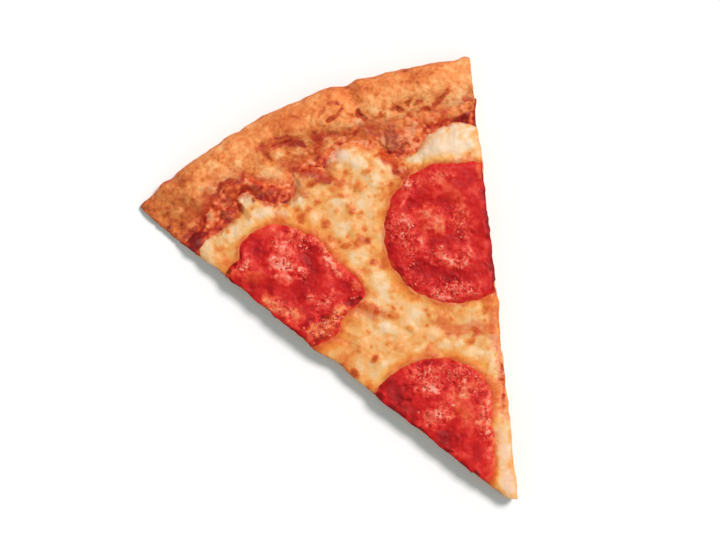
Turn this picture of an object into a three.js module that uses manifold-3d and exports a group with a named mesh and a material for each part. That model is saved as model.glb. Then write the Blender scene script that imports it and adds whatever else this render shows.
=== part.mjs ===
// A slice of pepperoni pizza, in millimetres, +Z up.
// A baked dough base with a raised rim carries a layer of tomato sauce and a layer of melted cheese,
// and three slices of pepperoni are sunk into the cheese, each cut through by an edge of the slice.
// +Y runs from the pointed tip to the rim. The origin is under the middle of the slice, on the
// surface that it rests on.

import * as THREE from "three";
import { mergeVertices } from "three/addons/utils/BufferGeometryUtils.js";
import Module from "manifold-3d";

const wasm = await Module();
wasm.setup();

// ---------------------------------------------------------------- driving dimensions
// Places are measured from the point where the two cuts would meet.

const CUT_ANGLE = 45.7; // degrees between the two cuts: an eighth of a pizza
const TIP_START = 3.6; // the point is blunt, so the slice starts this far out
const RIM_RADIUS = 207.4; // of the outer edge, which is flatter than a circle about the tip
const RIM_CENTRE = new THREE.Vector2(-19.4, -28.7);

const BASE_HEIGHT = 5; // dough under the sauce
const RIM_HEIGHT = 12.5; // top of the raised rim
const RIM_SHOULDER = 5.5; // height at which the rim's outer side turns into its top, less on a low rim
const RIM_CREST = 9.5; // from the outer edge to the highest line of the rim
const RIM_FOOT = 23; // from the outer edge to where the rim's inner slope ends
const SIDE_TUCK = 2.4; // the rim's outer side draws in by this much where it meets the table

const SAUCE_HEIGHT = 1;
const SAUCE_INSET = 21; // from the outer edge to the sauce, which climbs the rim in places
const CHEESE_HEIGHT = 3;
const CHEESE_EDGE_HEIGHT = 1.2; // at its border with the sauce
const CHEESE_TAPER = 9; // over this length before the border
const CHEESE_INSET = 30; // from the outer edge to the cheese
const LAYER_GAP = 0.3; // between two layers, and round each pepperoni

const PEPPERONI_HEIGHT = 2;
const PEPPERONI_SUNK = 1.1; // of its height, below the cheese around it
const PEPPERONI_CUP = 0.7; // its edge curls up by this much

// A bump adds `add` millimetres at `at`, and fades out over `wide` on both sides.
// Along the cuts, `at` and `wide` are distances from the tip.
const LEFT_CUT_BUMPS = [
  { at: 66, add: 0.7, wide: 7 },
  { at: 88, add: -1.2, wide: 5 },
  { at: 99, add: 0.9, wide: 6 },
  { at: 136, add: -0.8, wide: 18 },
  { at: 172, add: 1.8, wide: 7 },
  { at: 187, add: -0.8, wide: 5 },
];
const RIGHT_CUT_BUMPS = [
  { at: 79, add: 0.7, wide: 6 },
  { at: 99, add: 1.3, wide: 7 },
  { at: 149, add: -0.8, wide: 5 },
];
// Along the rim, `at` and `wide` are millimetres across the slice.
const RIM_EDGE_BUMPS = [
  { at: -60, add: 0.8, wide: 5 },
  { at: -12, add: 0.6, wide: 14 },
  { at: 21, add: -1.2, wide: 5 },
  { at: 66, add: 1.2, wide: 6 },
];
const RIM_HEIGHT_BUMPS = [
  { at: -72, add: -8.5, wide: 12 }, // pressed flat by the cutter
  { at: -30, add: 0.8, wide: 12 },
  { at: 6, add: 1, wide: 10 },
  { at: 20, add: -2.2, wide: 6 },
  { at: 40, add: 0.6, wide: 12 },
  { at: 66, add: -2, wide: 8 },
];
const SAUCE_INSET_BUMPS = [
  { at: -66, add: 4, wide: 10 },
  { at: -40, add: -7, wide: 12 },
  { at: -17, add: 4, wide: 9 },
];
const CHEESE_INSET_BUMPS = [
  { at: -45, add: -2.5, wide: 12 },
  { at: 6, add: -4, wide: 12 },
  { at: 25, add: 4, wide: 8 },
  { at: 45, add: -4, wide: 10 },
];
// Round a pepperoni's outline, `at` and `wide` are degrees, counted from +X towards +Y.
const PEPPERONI = {
  right: { centre: [30.7, 104.1], radius: 28.2, bumps: [{ at: 190, add: 0.4, wide: 40 }] },
  left: {
    centre: [-36, 116],
    radius: 25,
    bumps: [
      { at: 8, add: -4.2, wide: 26 },
      { at: 48, add: -2.2, wide: 16 },
      { at: 95, add: 1, wide: 25 },
      { at: 324, add: 4.6, wide: 20 },
      { at: 280, add: -0.8, wide: 15 },
    ],
  },
  tip: {
    centre: [-13, 42],
    radius: 27,
    bumps: [
      { at: 335, add: -4.8, wide: 28 },
      { at: 20, add: 0.9, wide: 18 },
      { at: 286, add: 3.2, wide: 14 },
    ],
  },
};

// Facets: columns from cut to cut, and rows from the tip outwards in each zone.
const COLUMNS = 18;
const CHEESE_ROWS = 21;
const SAUCE_ROWS = 3;
const RIM_ROWS = 9;
const SIDE_ROWS = 3;
const PEPPERONI_SIDES = 44;

// ---------------------------------------------------------------- outlines and heights
const HALF_ANGLE = THREE.MathUtils.degToRad(CUT_ANGLE / 2);

function swell(bumps, at) {
  return bumps.reduce((sum, bump) => sum + bump.add * Math.exp(-(((at - bump.at) / bump.wide) ** 2)), 0);
}

// From the tip to the outer edge of the rim, along a direction.
function rimDistance(angle) {
  const direction = new THREE.Vector2(Math.sin(angle), Math.cos(angle));
  const along = RIM_CENTRE.dot(direction);
  const even = along + Math.sqrt(along ** 2 + RIM_RADIUS ** 2 - RIM_CENTRE.lengthSq());
  return even + swell(RIM_EDGE_BUMPS, even * Math.sin(angle));
}

function sauceDistance(angle) {
  const edge = rimDistance(angle);
  return edge - SAUCE_INSET - swell(SAUCE_INSET_BUMPS, edge * Math.sin(angle));
}

function cheeseDistance(angle) {
  const edge = rimDistance(angle);
  return edge - CHEESE_INSET - swell(CHEESE_INSET_BUMPS, edge * Math.sin(angle));
}

// The dough's upper surface: flat under the sauce, then up and over the rim.
function doughTop(angle, distance) {
  const edge = rimDistance(angle);
  const inset = edge - distance;
  if (inset >= RIM_FOOT) return BASE_HEIGHT;
  const crest = RIM_HEIGHT + swell(RIM_HEIGHT_BUMPS, edge * Math.sin(angle));
  if (inset >= RIM_CREST) {
    const slope = (inset - RIM_CREST) / (RIM_FOOT - RIM_CREST);
    return BASE_HEIGHT + (crest - BASE_HEIGHT) * 0.5 * (1 + Math.cos(Math.PI * slope));
  }
  const shoulder = (RIM_SHOULDER * crest) / RIM_HEIGHT;
  const turn = 1 - Math.max(inset, 0) / RIM_CREST;
  return shoulder + (crest - shoulder) * Math.sqrt(1 - turn ** 2);
}

function sauceTop(angle, distance) {
  return doughTop(angle, distance) + LAYER_GAP + SAUCE_HEIGHT;
}

function cheeseTop(angle, distance) {
  const taper = THREE.MathUtils.smoothstep(cheeseDistance(angle) - distance, 0, CHEESE_TAPER);
  const height = THREE.MathUtils.lerp(CHEESE_EDGE_HEIGHT, CHEESE_HEIGHT, taper);
  return sauceTop(angle, distance) + LAYER_GAP + height;
}

// ---------------------------------------------------------------- solids
// The distance from the tip of each row, so that layers that meet share their rows.
// The last row lies `inwards` from the rim's outer edge.
function rowDistance(angle, row, inwards) {
  const cheese = cheeseDistance(angle);
  const sauce = sauceDistance(angle);
  if (row <= CHEESE_ROWS) return THREE.MathUtils.lerp(TIP_START, cheese, row / CHEESE_ROWS);
  if (row <= CHEESE_ROWS + SAUCE_ROWS) {
    return THREE.MathUtils.lerp(cheese, sauce, (row - CHEESE_ROWS) / SAUCE_ROWS);
  }
  const turn = (row - CHEESE_ROWS - SAUCE_ROWS) / RIM_ROWS;
  return THREE.MathUtils.lerp(sauce, rimDistance(angle) - inwards, Math.sin((Math.PI / 2) * turn));
}

// A block of the slice's outline from the tip to a row, between a lower and an upper surface.
// It is a box whose corners are moved: X goes from cut to cut, Y along the rows, and Z up.
function sliceBlock(rows, lower, upper, sideRows = 1, tuck = 0) {
  const geometry = new THREE.BoxGeometry(1, 1, 1, COLUMNS, rows, sideRows);
  const points = geometry.getAttribute("position");
  const point = new THREE.Vector3();
  for (let i = 0; i < points.count; i += 1) {
    point.fromBufferAttribute(points, i);
    const side = 2 * point.x;
    const angle = side * HALF_ANGLE;
    const height = point.z + 0.5;
    const row = Math.round((point.y + 0.5) * rows);
    const distance = rowDistance(angle, row, tuck * (1 - height) ** 2);
    const bulge = side ** 3 * swell(side < 0 ? LEFT_CUT_BUMPS : RIGHT_CUT_BUMPS, distance);
    points.setXYZ(
      i,
      distance * Math.sin(angle) + bulge,
      distance * Math.cos(angle),
      THREE.MathUtils.lerp(lower(angle, distance), upper(angle, distance), height),
    );
  }
  turnUnderside(geometry);
  return solidOf(geometry);
}

// A box splits its lower squares the other way from its upper ones. This splits them the same way,
// so that a layer's underside stays parallel to the layer below, facet by facet.
function turnUnderside({ groups, index }) {
  const underside = groups[5];
  const cornersOfSquare = 6;
  for (let i = underside.start; i < underside.start + underside.count; i += cornersOfSquare) {
    const first = index.getX(i);
    const opposite = index.getX(i + 4);
    index.setX(i + 2, opposite);
    index.setX(i + 3, first);
  }
}

// A disc of meat that lies in the cheese and cups a little, not yet cut by the slice's edges.
// `grow` makes it larger on every side, for the hollow that it lies in.
function pepperoniDisc({ centre, radius, bumps }, grow = 0) {
  const low = -grow;
  const high = PEPPERONI_HEIGHT + grow;
  const profile = [
    new THREE.Vector2(0, low),
    new THREE.Vector2(0.55, low),
    new THREE.Vector2(0.97, low),
    new THREE.Vector2(1, low + 0.3),
    new THREE.Vector2(1, high - 0.3),
    new THREE.Vector2(0.97, high),
    new THREE.Vector2(0.55, high),
    new THREE.Vector2(0, high),
  ];
  const geometry = new THREE.LatheGeometry(profile, PEPPERONI_SIDES).rotateX(Math.PI / 2);
  const points = geometry.getAttribute("position");
  const point = new THREE.Vector3();
  for (let i = 0; i < points.count; i += 1) {
    point.fromBufferAttribute(points, i);
    const share = Math.hypot(point.x, point.y);
    const degrees = THREE.MathUtils.radToDeg(Math.atan2(point.y, point.x));
    const wave = [0, 360].reduce((sum, turn) => sum + swell(bumps, degrees + turn), 0);
    const outline = radius + grow + wave;
    const x = centre[0] + point.x * outline;
    const y = centre[1] + point.y * outline;
    const bed = cheeseTop(Math.atan2(x, y), Math.hypot(x, y)) - PEPPERONI_SUNK;
    points.setXYZ(i, x, y, bed + point.z + PEPPERONI_CUP * share ** 4);
  }
  return solidOf(geometry);
}

function solidOf(geometry) {
  geometry.deleteAttribute("normal");
  geometry.deleteAttribute("uv");
  const merged = mergeVertices(geometry, 1e-4);
  return new wasm.Manifold(
    new wasm.Mesh({
      numProp: 3,
      vertProperties: merged.getAttribute("position").array,
      triVerts: merged.index.array,
    }),
  );
}

function meshOf(name, solid, material) {
  const { vertProperties, triVerts } = solid.getMesh();
  const geometry = new THREE.BufferGeometry();
  geometry.setAttribute("position", new THREE.BufferAttribute(vertProperties, 3));
  geometry.setIndex(new THREE.BufferAttribute(triVerts, 1));
  geometry.computeVertexNormals();
  const mesh = new THREE.Mesh(geometry, material);
  mesh.name = name;
  return mesh;
}

// ---------------------------------------------------------------- looks
const crust = new THREE.MeshStandardMaterial({ color: 0xd98a4c, roughness: 0.75, metalness: 0 });
const tomato = new THREE.MeshStandardMaterial({ color: 0x9c2f1c, roughness: 0.4, metalness: 0 });
const mozzarella = new THREE.MeshStandardMaterial({ color: 0xf6cf92, roughness: 0.35, metalness: 0 });
const curedMeat = new THREE.MeshStandardMaterial({ color: 0xc02428, roughness: 0.35, metalness: 0 });

// ---------------------------------------------------------------- the slice
const sauceRows = CHEESE_ROWS + SAUCE_ROWS;
const doughRows = sauceRows + RIM_ROWS;
const table = () => 0;

const dough = sliceBlock(doughRows, table, doughTop, SIDE_ROWS, SIDE_TUCK);
const sauce = sliceBlock(sauceRows, (a, d) => doughTop(a, d) + LAYER_GAP, sauceTop);
const cheeseLayer = sliceBlock(CHEESE_ROWS, (a, d) => sauceTop(a, d) + LAYER_GAP, cheeseTop);
const cutOutline = sliceBlock(doughRows, table, () => 2 * RIM_HEIGHT);

const discs = Object.values(PEPPERONI);
const cheese = discs.reduce((left, disc) => left.subtract(pepperoniDisc(disc, LAYER_GAP)), cheeseLayer);

const slice = new THREE.Group();
slice.add(meshOf("dough", dough, crust));
slice.add(meshOf("sauce", sauce, tomato));
slice.add(meshOf("cheese", cheese, mozzarella));
for (const [name, disc] of Object.entries(PEPPERONI)) {
  slice.add(meshOf(`pepperoni_${name}`, pepperoniDisc(disc).intersect(cutOutline), curedMeat));
}

// The origin goes to the middle of the underside.
const middle = new THREE.Box3().setFromObject(slice).getCenter(new THREE.Vector3());
slice.position.set(-middle.x, -middle.y, 0);

const pizza = new THREE.Group();
pizza.add(slice);

export default pizza;
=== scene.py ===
"""A slice of pepperoni pizza, lying on a pale floor and seen from straight above.

Lengths are millimetres until a mesh is made. Places on the slice are measured from the point where
its two cuts would meet, with +Y along the middle of the slice towards the rim, as on the frame.
"""

import itertools
import math
from collections import namedtuple

import bpy
import numpy as np
from mathutils import Matrix, Vector
from mathutils.geometry import delaunay_2d_cdt


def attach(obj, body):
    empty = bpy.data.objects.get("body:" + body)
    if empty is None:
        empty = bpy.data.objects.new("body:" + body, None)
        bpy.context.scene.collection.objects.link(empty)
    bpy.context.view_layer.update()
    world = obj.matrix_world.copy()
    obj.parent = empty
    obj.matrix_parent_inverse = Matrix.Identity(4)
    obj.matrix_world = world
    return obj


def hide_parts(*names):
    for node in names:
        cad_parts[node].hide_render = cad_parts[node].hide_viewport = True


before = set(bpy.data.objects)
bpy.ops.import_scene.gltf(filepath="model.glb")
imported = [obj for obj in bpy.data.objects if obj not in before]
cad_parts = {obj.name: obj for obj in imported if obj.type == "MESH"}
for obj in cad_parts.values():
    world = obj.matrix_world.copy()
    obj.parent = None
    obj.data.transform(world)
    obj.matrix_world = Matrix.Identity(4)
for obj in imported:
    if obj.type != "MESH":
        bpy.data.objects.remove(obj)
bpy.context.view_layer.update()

MM = 0.001
SEED = 7

# -------- sizes of the slice
HALF_ANGLE = math.radians(45.7 / 2)
RIM_RADIUS = 207.4
RIM_CENTRE = np.array([-19.4, -28.7])
TIP_LEFT = 4.4  # the blunt point leans: each cut starts this far out
TIP_RIGHT = 2.8

BASE_HEIGHT = 5
RIM_HEIGHT = 12.5
RIM_SHOULDER = 5.5  # the height where the rim's outer side turns into its top
RIM_CREST = 8.5  # how far in from the outer edge
RIM_FOOT = 25.5  # how far in from the outer edge
RIM_TURN = 2.6  # the rim's wall starts this far in from the outer edge
SIDE_TUCK = 2.4  # how far that wall draws in below
SAUCE_HEIGHT = 1
CHEESE_HEIGHT = 3.2
PEPPERONI_HEIGHT = 2
PRESSED_IN = 1.2  # how deep the meat lies in the cheese
# How far the hidden underside of a layer lies in the one below.
SAUCE_SUNK = 1.2
CHEESE_SUNK = 0.5
PEPPERONI_SUNK = 0.15
RIM_WALL = 10.3  # about how high the dough's wall is, round the rim and at the cuts
CUT_WALL = 5.4

# -------- small tools for numbers


def smooth(low, high, value):
    """0 below low, 1 above high, and an even S between them."""
    t = np.clip((value - low) / (high - low), 0, 1)
    return t * t * (3 - 2 * t)


def hashed(cell, seed):
    """A steady random number in 0..1 for each whole-number cell of a grid, mixed by large numbers."""
    mask = np.int64(0xFFFFFFFF)  # 32 bits
    x, y, z = cell.T
    h = (x * 73856093 ^ y * 19349663 ^ z * 83492791 ^ (seed * 40503 + 977)) & mask
    h = ((h ^ (h >> 15)) * 739982445) & mask
    h = ((h ^ (h >> 12)) * 695872825) & mask
    return (h ^ (h >> 15)) / float(mask)


# Noise is turned, and turned again for each octave, so that its grid doesn't show.
TURNED = np.array(Matrix.Rotation(0.7, 3, (0.5, 0.3, 0.8)))


def noise(p, size, seed=0, octaves=1, gain=0.5):
    """Smooth noise in about -1..1, with patches `size` mm across. Each use has a seed of its own."""
    spread = 1.6  # brings the values to about -1..1
    total = np.zeros(len(p))
    weight = 0
    for octave in range(octaves):
        q = (p / size) @ TURNED.T + 17.3 * (seed + octave)
        cell = np.floor(q).astype(np.int64)
        part = q - cell
        part = part * part * part * (part * (part * 6 - 15) + 10)
        value = np.zeros(len(p))
        for corner in itertools.product((0, 1), repeat=3):
            share = np.prod([part[:, k] if corner[k] else 1 - part[:, k] for k in range(3)], axis=0)
            value += share * hashed(cell + np.array(corner), seed * 31 + octave)
        total += gain**octave * (value * 2 - 1) * spread
        weight += gain**octave
        p = p @ TURNED
        size /= 2
    return total / weight


def near_cell(p, size, seed=0):
    """How far each point is from the nearest of scattered spots `size` mm apart, in those steps."""
    q = p / size
    cell = np.floor(q).astype(np.int64)
    nearest = np.full(len(p), 9.0)
    for step in itertools.product((-1, 0, 1), repeat=3):
        there = cell + np.array(step)
        spots = there + np.stack([hashed(there, seed + axis) for axis in range(3)], axis=1)
        nearest = np.minimum(nearest, np.linalg.norm(spots - q, axis=1))
    return nearest


def bell(value, middle, wide):
    """1 in the middle of a smooth hump, and falling to 0 on both sides."""
    return np.exp(-(((value - middle) / wide) ** 2))


def swell(bumps, at):
    """Sum of bumps (place, amount, width) at a place along a line."""
    return sum(amount * bell(at, place, wide) for place, amount, wide in bumps)


# -------- outlines
# Bumps are (place, amount, width): along a cut from the tip, or along the rim from left to right.
LEFT_CUT_BUMPS = [
    (66, 0.7, 7), (88, -1.3, 3.5), (99, 0.9, 5), (136, -0.4, 18), (172, 1, 7), (187, -0.8, 5),
]
RIGHT_CUT_BUMPS = [(79, 0.3, 4), (99, 0.6, 6), (149, -0.3, 3), (157, 0.7, 2)]
RIM_EDGE_BUMPS = [
    (-60, 0.5, 3), (-56, -0.5, 2), (-28.5, 0.2, 3), (-24, -0.5, 1.6), (-12, 0.5, 10), (12, 0.5, 4),
    (20.5, -0.7, 2.2), (25, 0.4, 2), (33, -0.5, 4), (45, -0.4, 3), (65.5, 1.6, 2.4),
]


def flat(x, y, z=0.0):
    """Points from their coordinates, with one height for all or one for each."""
    return np.stack([x, y, np.full_like(x, z) if np.isscalar(z) else z], axis=1)


def rim_distance(angle):
    """From the tip to the outer edge of the rim."""
    along = RIM_CENTRE[0] * np.sin(angle) + RIM_CENTRE[1] * np.cos(angle)
    even = along + np.sqrt(along**2 + RIM_RADIUS**2 - RIM_CENTRE @ RIM_CENTRE)
    x = even * np.sin(angle)
    fine = noise(flat(x, even * np.cos(angle)), 5, 3, octaves=2)
    return even + swell(RIM_EDGE_BUMPS, x) + 0.28 * fine


def cut_bulge(side, distance):
    """How far a cut bows out, side -1 for the left one and 1 for the right one."""
    bumps = LEFT_CUT_BUMPS if side < 0 else RIGHT_CUT_BUMPS
    fine = noise(flat(distance, np.full_like(distance, 50.0 * side)), 6, 5, octaves=2)
    return swell(bumps, distance) + 0.3 * fine


def cut_room(p):
    """Distance inside the nearer cut, for points on the slice."""
    x, y = p[:, 0], p[:, 1]
    distance = np.hypot(x, y)
    reach = np.abs(x) - np.tan(HALF_ANGLE) * y
    side = np.where(x < 0, cut_bulge(-1, distance), cut_bulge(1, distance))
    return (side - reach) * math.cos(HALF_ANGLE)


def beside_cut(p, reach):
    """1 at a cut, fading out over about `reach` mm inside it."""
    return np.exp(-np.clip(cut_room(p), 0, 9) / reach)


def polar(p):
    """The angle from the slice's middle line, and the distance from its tip."""
    return np.arctan2(p[:, 0], p[:, 1]), np.hypot(p[:, 0], p[:, 1])


def border(points):
    """A ragged line across the slice, from left to right.

    Gives its distance from the tip for an angle, and how far places are inside it.
    """
    x, y = np.array(points, float).T
    angles = np.arctan2(x, y)
    distances = np.hypot(x, y)

    def ragged(x, y):
        return 1.3 * noise(flat(x, y), 4.5, 11, octaves=4, gain=0.6)

    def end(angle):
        straight = np.interp(angle, angles, distances)
        return straight + ragged(straight * np.sin(angle), straight * np.cos(angle))

    def room(p):
        angle, distance = polar(p)
        inside = end(angle) - distance
        own = np.interp(angle, angles, distances) + ragged(p[:, 0], p[:, 1]) - distance
        share = smooth(0, 2.5, np.abs(inside))
        return inside * (1 - share) + own * share

    return end, room


cheese_end, cheese_room = border([
    (-62, 146), (-55, 148), (-50, 148.8), (-43, 150), (-39, 151.5), (-37.5, 156.5), (-32.5, 157),
    (-30.5, 152), (-26, 149), (-21, 146.5), (-17, 149), (-13, 154), (-7, 155), (-2, 151), (2, 154),
    (9, 154.5), (15, 151.5), (19, 147), (22, 142), (26, 139), (31, 138.5), (36, 141), (41, 142.3),
    (50, 142), (54, 139), (60, 135),
])
sauce_end, sauce_room = border([
    (-66, 151), (-61, 153), (-57, 155), (-53, 157.5), (-49, 160), (-45, 161.5), (-41, 163.5),
    (-36, 164), (-31, 163), (-27, 159), (-23, 154.5), (-17, 152), (-10, 157), (-3, 157), (2, 158),
    (8, 158.5), (14, 156.5), (18, 158), (21, 155), (30, 152.5), (38, 150.5), (45, 149.5), (52, 148),
    (62, 145.5),
])


# Points along a cut, along a line across the slice and round a disc, before they are spaced evenly.
FINE_CUT = 1500
FINE_END = 1200
FINE_DISC = 1440


def resample(points, step):
    """The same closed line with points `step` mm apart."""
    closed = np.vstack([points, points[:1]])
    lengths = np.r_[0, np.cumsum(np.linalg.norm(np.diff(closed, axis=0), axis=1))]
    count = int(lengths[-1] / step)
    at = np.linspace(0, lengths[-1], count, endpoint=False)
    return np.stack([np.interp(at, lengths, closed[:, k]) for k in (0, 1)], axis=1)


def wedge(end, inset, step):
    """The slice's outline out to a line across it, `inset` mm inside the cuts, counter-clockwise."""
    angles = np.linspace(HALF_ANGLE, -HALF_ANGLE, FINE_END)
    across = end(angles)
    pull = inset / math.cos(HALF_ANGLE)

    def cut_line(side, distance):
        x = distance * math.sin(HALF_ANGLE) + cut_bulge(side, distance) - pull
        return np.stack([side * x, distance * math.cos(HALF_ANGLE)], axis=1)

    share = angles / HALF_ANGLE
    shift = np.where(share > 0, cut_bulge(1, across), -cut_bulge(-1, across)) - pull * np.sign(share)
    line = np.stack([across * np.sin(angles) + shift * share**6, across * np.cos(angles)], axis=1)
    right = cut_line(1, np.linspace(TIP_RIGHT, across[0], FINE_CUT))
    left = cut_line(-1, np.linspace(across[-1], TIP_LEFT, FINE_CUT))
    return resample(np.vstack([right[:-1], line, left[1:]]), step)


def polygon_holds(edge, x, y):
    """Which points lie inside a closed line."""
    inside = np.zeros(len(x), bool)
    for (x0, y0), (x1, y1) in zip(edge, np.roll(edge, -1, axis=0)):
        if y0 == y1:
            continue
        crosses = (y0 > y) != (y1 > y)
        inside ^= crosses & (x < (x1 - x0) * (y - y0) / (y1 - y0) + x0)
    return inside


HEX_ROWS = 0.866  # between the rows of a hexagonal grid, in steps
UNEVEN = 0.18  # how far its points stray, in steps


def lattice(edge, step, wanted=None):
    """Points of an uneven hexagonal grid inside a closed line, kept clear of the line itself."""
    low = edge.min(0)
    high = edge.max(0)
    rows = np.arange(low[1], high[1], step * HEX_ROWS)
    columns = np.arange(low[0], high[0], step)
    x, y = np.meshgrid(columns, rows)
    x = x + (np.arange(len(rows)) % 2)[:, None] * step / 2
    random = np.random.default_rng(SEED)
    x = (x + random.uniform(-UNEVEN, UNEVEN, x.shape) * step).ravel()
    y = (y + random.uniform(-UNEVEN, UNEVEN, y.shape) * step).ravel()
    kept = polygon_holds(edge, x, y)
    if wanted is not None:
        kept &= wanted(flat(x, y))
    x, y = x[kept], y[kept]
    clear = np.full(len(x), True)
    batch = 4000  # keeps the table of distances small
    for start in range(0, len(x), batch):
        part = slice(start, start + batch)
        gap = np.hypot(x[part, None] - edge[None, :, 0], y[part, None] - edge[None, :, 1]).min(1)
        clear[part] = gap > 0.6 * step
    return np.stack([x[clear], y[clear]], axis=1)


def sheet(edge, inner):
    """Triangles over a closed line and the points inside it: points with the line's first, and faces."""
    count = len(edge)
    points = np.vstack([edge, inner])
    lines = [(i, (i + 1) % count) for i in range(count)]
    inside_only, smallest = 1, 1e-6
    made = delaunay_2d_cdt([Vector(p) for p in points], lines, [], inside_only, smallest)
    faces, origins = made[2:4]
    order = np.array([origin[0] if origin else -1 for origin in origins])
    faces = order[np.array([face for face in faces if len(face) == 3])]
    faces = faces[(faces >= 0).all(1)]
    a, b, c = (points[faces[:, k]] for k in range(3))
    area = (b[:, 0] - a[:, 0]) * (c[:, 1] - a[:, 1]) - (b[:, 1] - a[:, 1]) * (c[:, 0] - a[:, 0])
    faces[area < 0] = faces[area < 0][:, ::-1]
    return points, faces


COARSE_STEP = 4  # between points where a layer is covered, and on its underside
Slab = namedtuple("Slab", "points faces part edge_place down")


def slab(edge, upper, lower, wall, shares, step, bare=None):
    """A closed layer: an upper and a lower sheet with one outline, joined by a wall.

    `upper` and `lower` give heights at places, and `wall` moves the wall's points sideways at each
    share of the way from its top (0) to its bottom (1), with a ring of points at each of `shares`.
    The upper sheet's points lie `step` apart where it is `bare`. A point's part is 0 on top, 1 on
    the wall and 2 below.
    """
    inner = lattice(edge, step, bare)
    if bare is not None:
        inner = np.vstack([inner, lattice(edge, COARSE_STEP, lambda p: ~bare(p))])
    count = len(edge)
    top_flat, top_faces = sheet(edge, inner)
    top_flat[:count] = edge + wall(0.0)
    under_edge = edge + wall(1.0)
    under_flat, under_faces = sheet(under_edge, lattice(under_edge, COARSE_STEP))
    top = flat(*top_flat.T, upper(flat(*top_flat.T)))
    under = flat(*under_flat.T, lower(flat(*under_flat.T)))
    rings = []
    for share in shares:
        height = top[:count, 2] * (1 - share) + under[:count, 2] * share
        rings.append(flat(*(edge + wall(share)).T, height))
    points = np.vstack([top] + rings + [under])
    start = [0] + [len(top) + count * i for i in range(len(shares) + 1)]
    this = np.arange(count)
    after = (this + 1) % count
    quads = []
    for a, b in zip(start, start[1:]):
        quads.append(np.stack([a + this, b + this, b + after], axis=1))
        quads.append(np.stack([a + this, b + after, a + after], axis=1))
    faces = np.vstack([top_faces, start[-1] + under_faces[:, ::-1]] + quads)
    part = np.r_[np.zeros(len(top)), np.ones(count * len(shares)), np.full(len(under), 2)]
    none = np.full(len(top) - count, -1), np.full(len(under) - count, -1)
    edge_place = np.r_[this, none[0], np.tile(this, len(shares)), this, none[1]]
    down = np.r_[np.zeros(len(top)), np.repeat(shares, count), np.ones(len(under))]
    return Slab(points, faces, part, edge_place, down)


def outward(edge):
    """Unit normals of a closed counter-clockwise line."""
    along = np.roll(edge, -2, axis=0) - np.roll(edge, 2, axis=0)
    normal = np.stack([along[:, 1], -along[:, 0]], axis=1)
    return normal / np.linalg.norm(normal, axis=1, keepdims=True)


# -------- marks: spots and strokes on a surface
# A mark lifts the surface by `relief` mm, moves its tone along the piece's own colours by `tone`, and
# lays a second colour over it by `tint`, or takes it away where that is below 0. `shade` is where that
# colour lies on its own ramp. A table's row is a spot (x, y, half length, half width, degrees) or a
# stroke ([places], half width), followed by as many of those four numbers as it needs.
UNMARKED = (0, 0, 0, 0.5)  # what a row leaves out


def mark_shape(place, x, y, ragged):
    """1 in the middle of a spot or a stroke, falling to 0 at about its edge."""
    if len(place) == 2:
        points, width = place
        away = np.full(len(x), 1e9)
        for (x0, y0), (x1, y1) in zip(points, points[1:]):
            length = (x1 - x0) ** 2 + (y1 - y0) ** 2
            t = np.clip(((x - x0) * (x1 - x0) + (y - y0) * (y1 - y0)) / length, 0, 1)
            away = np.minimum(away, np.hypot(x - x0 - t * (x1 - x0), y - y0 - t * (y1 - y0)))
        away = away / width
    else:
        cx, cy, long, wide, turn = place
        turn = math.radians(turn)
        u = (x - cx) * math.cos(turn) + (y - cy) * math.sin(turn)
        v = (y - cy) * math.cos(turn) - (x - cx) * math.sin(turn)
        away = np.hypot(u / long, v / wide)
    return 1 - smooth(0.35, 1.35, away + ragged)


def read_marks(marks, p, wander, seed=0, rough=0.45, tint=0.0, shade=0.5):
    """The relief, tone, tint and shade of all marks together, laid over a tint that is there already.

    The marks' edges wander by about `wander` mm, and are more ragged the larger `rough` is.
    """
    x = p[:, 0] + wander * noise(p, 3.0, 40 + seed, octaves=3)
    y = p[:, 1] + wander * noise(p, 3.0, 60 + seed, octaves=3)
    ragged = rough * noise(p, 1.8, 80 + seed, octaves=2)
    relief, tone = np.zeros((2, len(p)))
    weights = tint + np.full(len(p), 1e-3)
    shade = shade * weights
    for mark in marks:
        size = 2 if isinstance(mark[0], list) else 5
        place, values = mark[:size], mark[size:]
        lift, change, cover, own_shade = values + UNMARKED[len(values) :]
        shape = mark_shape(place, x, y, ragged)
        relief += lift * shape
        tone += change * shape
        share = cover * shape
        tint = tint * (1 + share) if cover < 0 else 1 - (1 - tint) * (1 - share)
        weights += np.maximum(share, 0)
        shade += own_shade * np.maximum(share, 0)
    return relief, tone, tint, shade / weights


# -------- heights of the layers
RIM_HEIGHT_BUMPS = [
    (-72, -8.5, 12), (-30, 0.8, 12), (6, 0.8, 10), (20, -2.2, 4), (42, -0.6, 14), (66, -2, 8),
]
SLOPE_ROUND = 0.25  # the share of the rim's inner slope that is rounded at each end


def even_slope(share):
    """From 1 to 0 in a straight line with rounded ends."""
    low = np.minimum(share, 1 - share)
    rounded = low**2 / (2 * SLOPE_ROUND * (1 - SLOPE_ROUND))
    fallen = np.where(low < SLOPE_ROUND, rounded, (low - SLOPE_ROUND / 2) / (1 - SLOPE_ROUND))
    return np.where(share < 0.5, 1 - fallen, fallen)


def dough_form(p):
    """The dough's upper surface without its fine relief."""
    angle, distance = polar(p)
    edge = rim_distance(angle)
    inset = edge - distance
    crest = RIM_HEIGHT + swell(RIM_HEIGHT_BUMPS, edge * np.sin(angle)) + 0.6 * noise(p, 17, 21)
    turn = 1 - np.clip(inset, 0, RIM_CREST) / RIM_CREST
    shoulder = RIM_SHOULDER * crest / RIM_HEIGHT
    outer = shoulder + (crest - shoulder) * np.sqrt(1 - turn**2)
    slope = np.clip((inset - RIM_CREST) / (RIM_FOOT - RIM_CREST), 0, 1)
    inner = BASE_HEIGHT + (crest - BASE_HEIGHT) * even_slope(slope)
    return np.where(inset < RIM_CREST, outer, inner)


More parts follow.
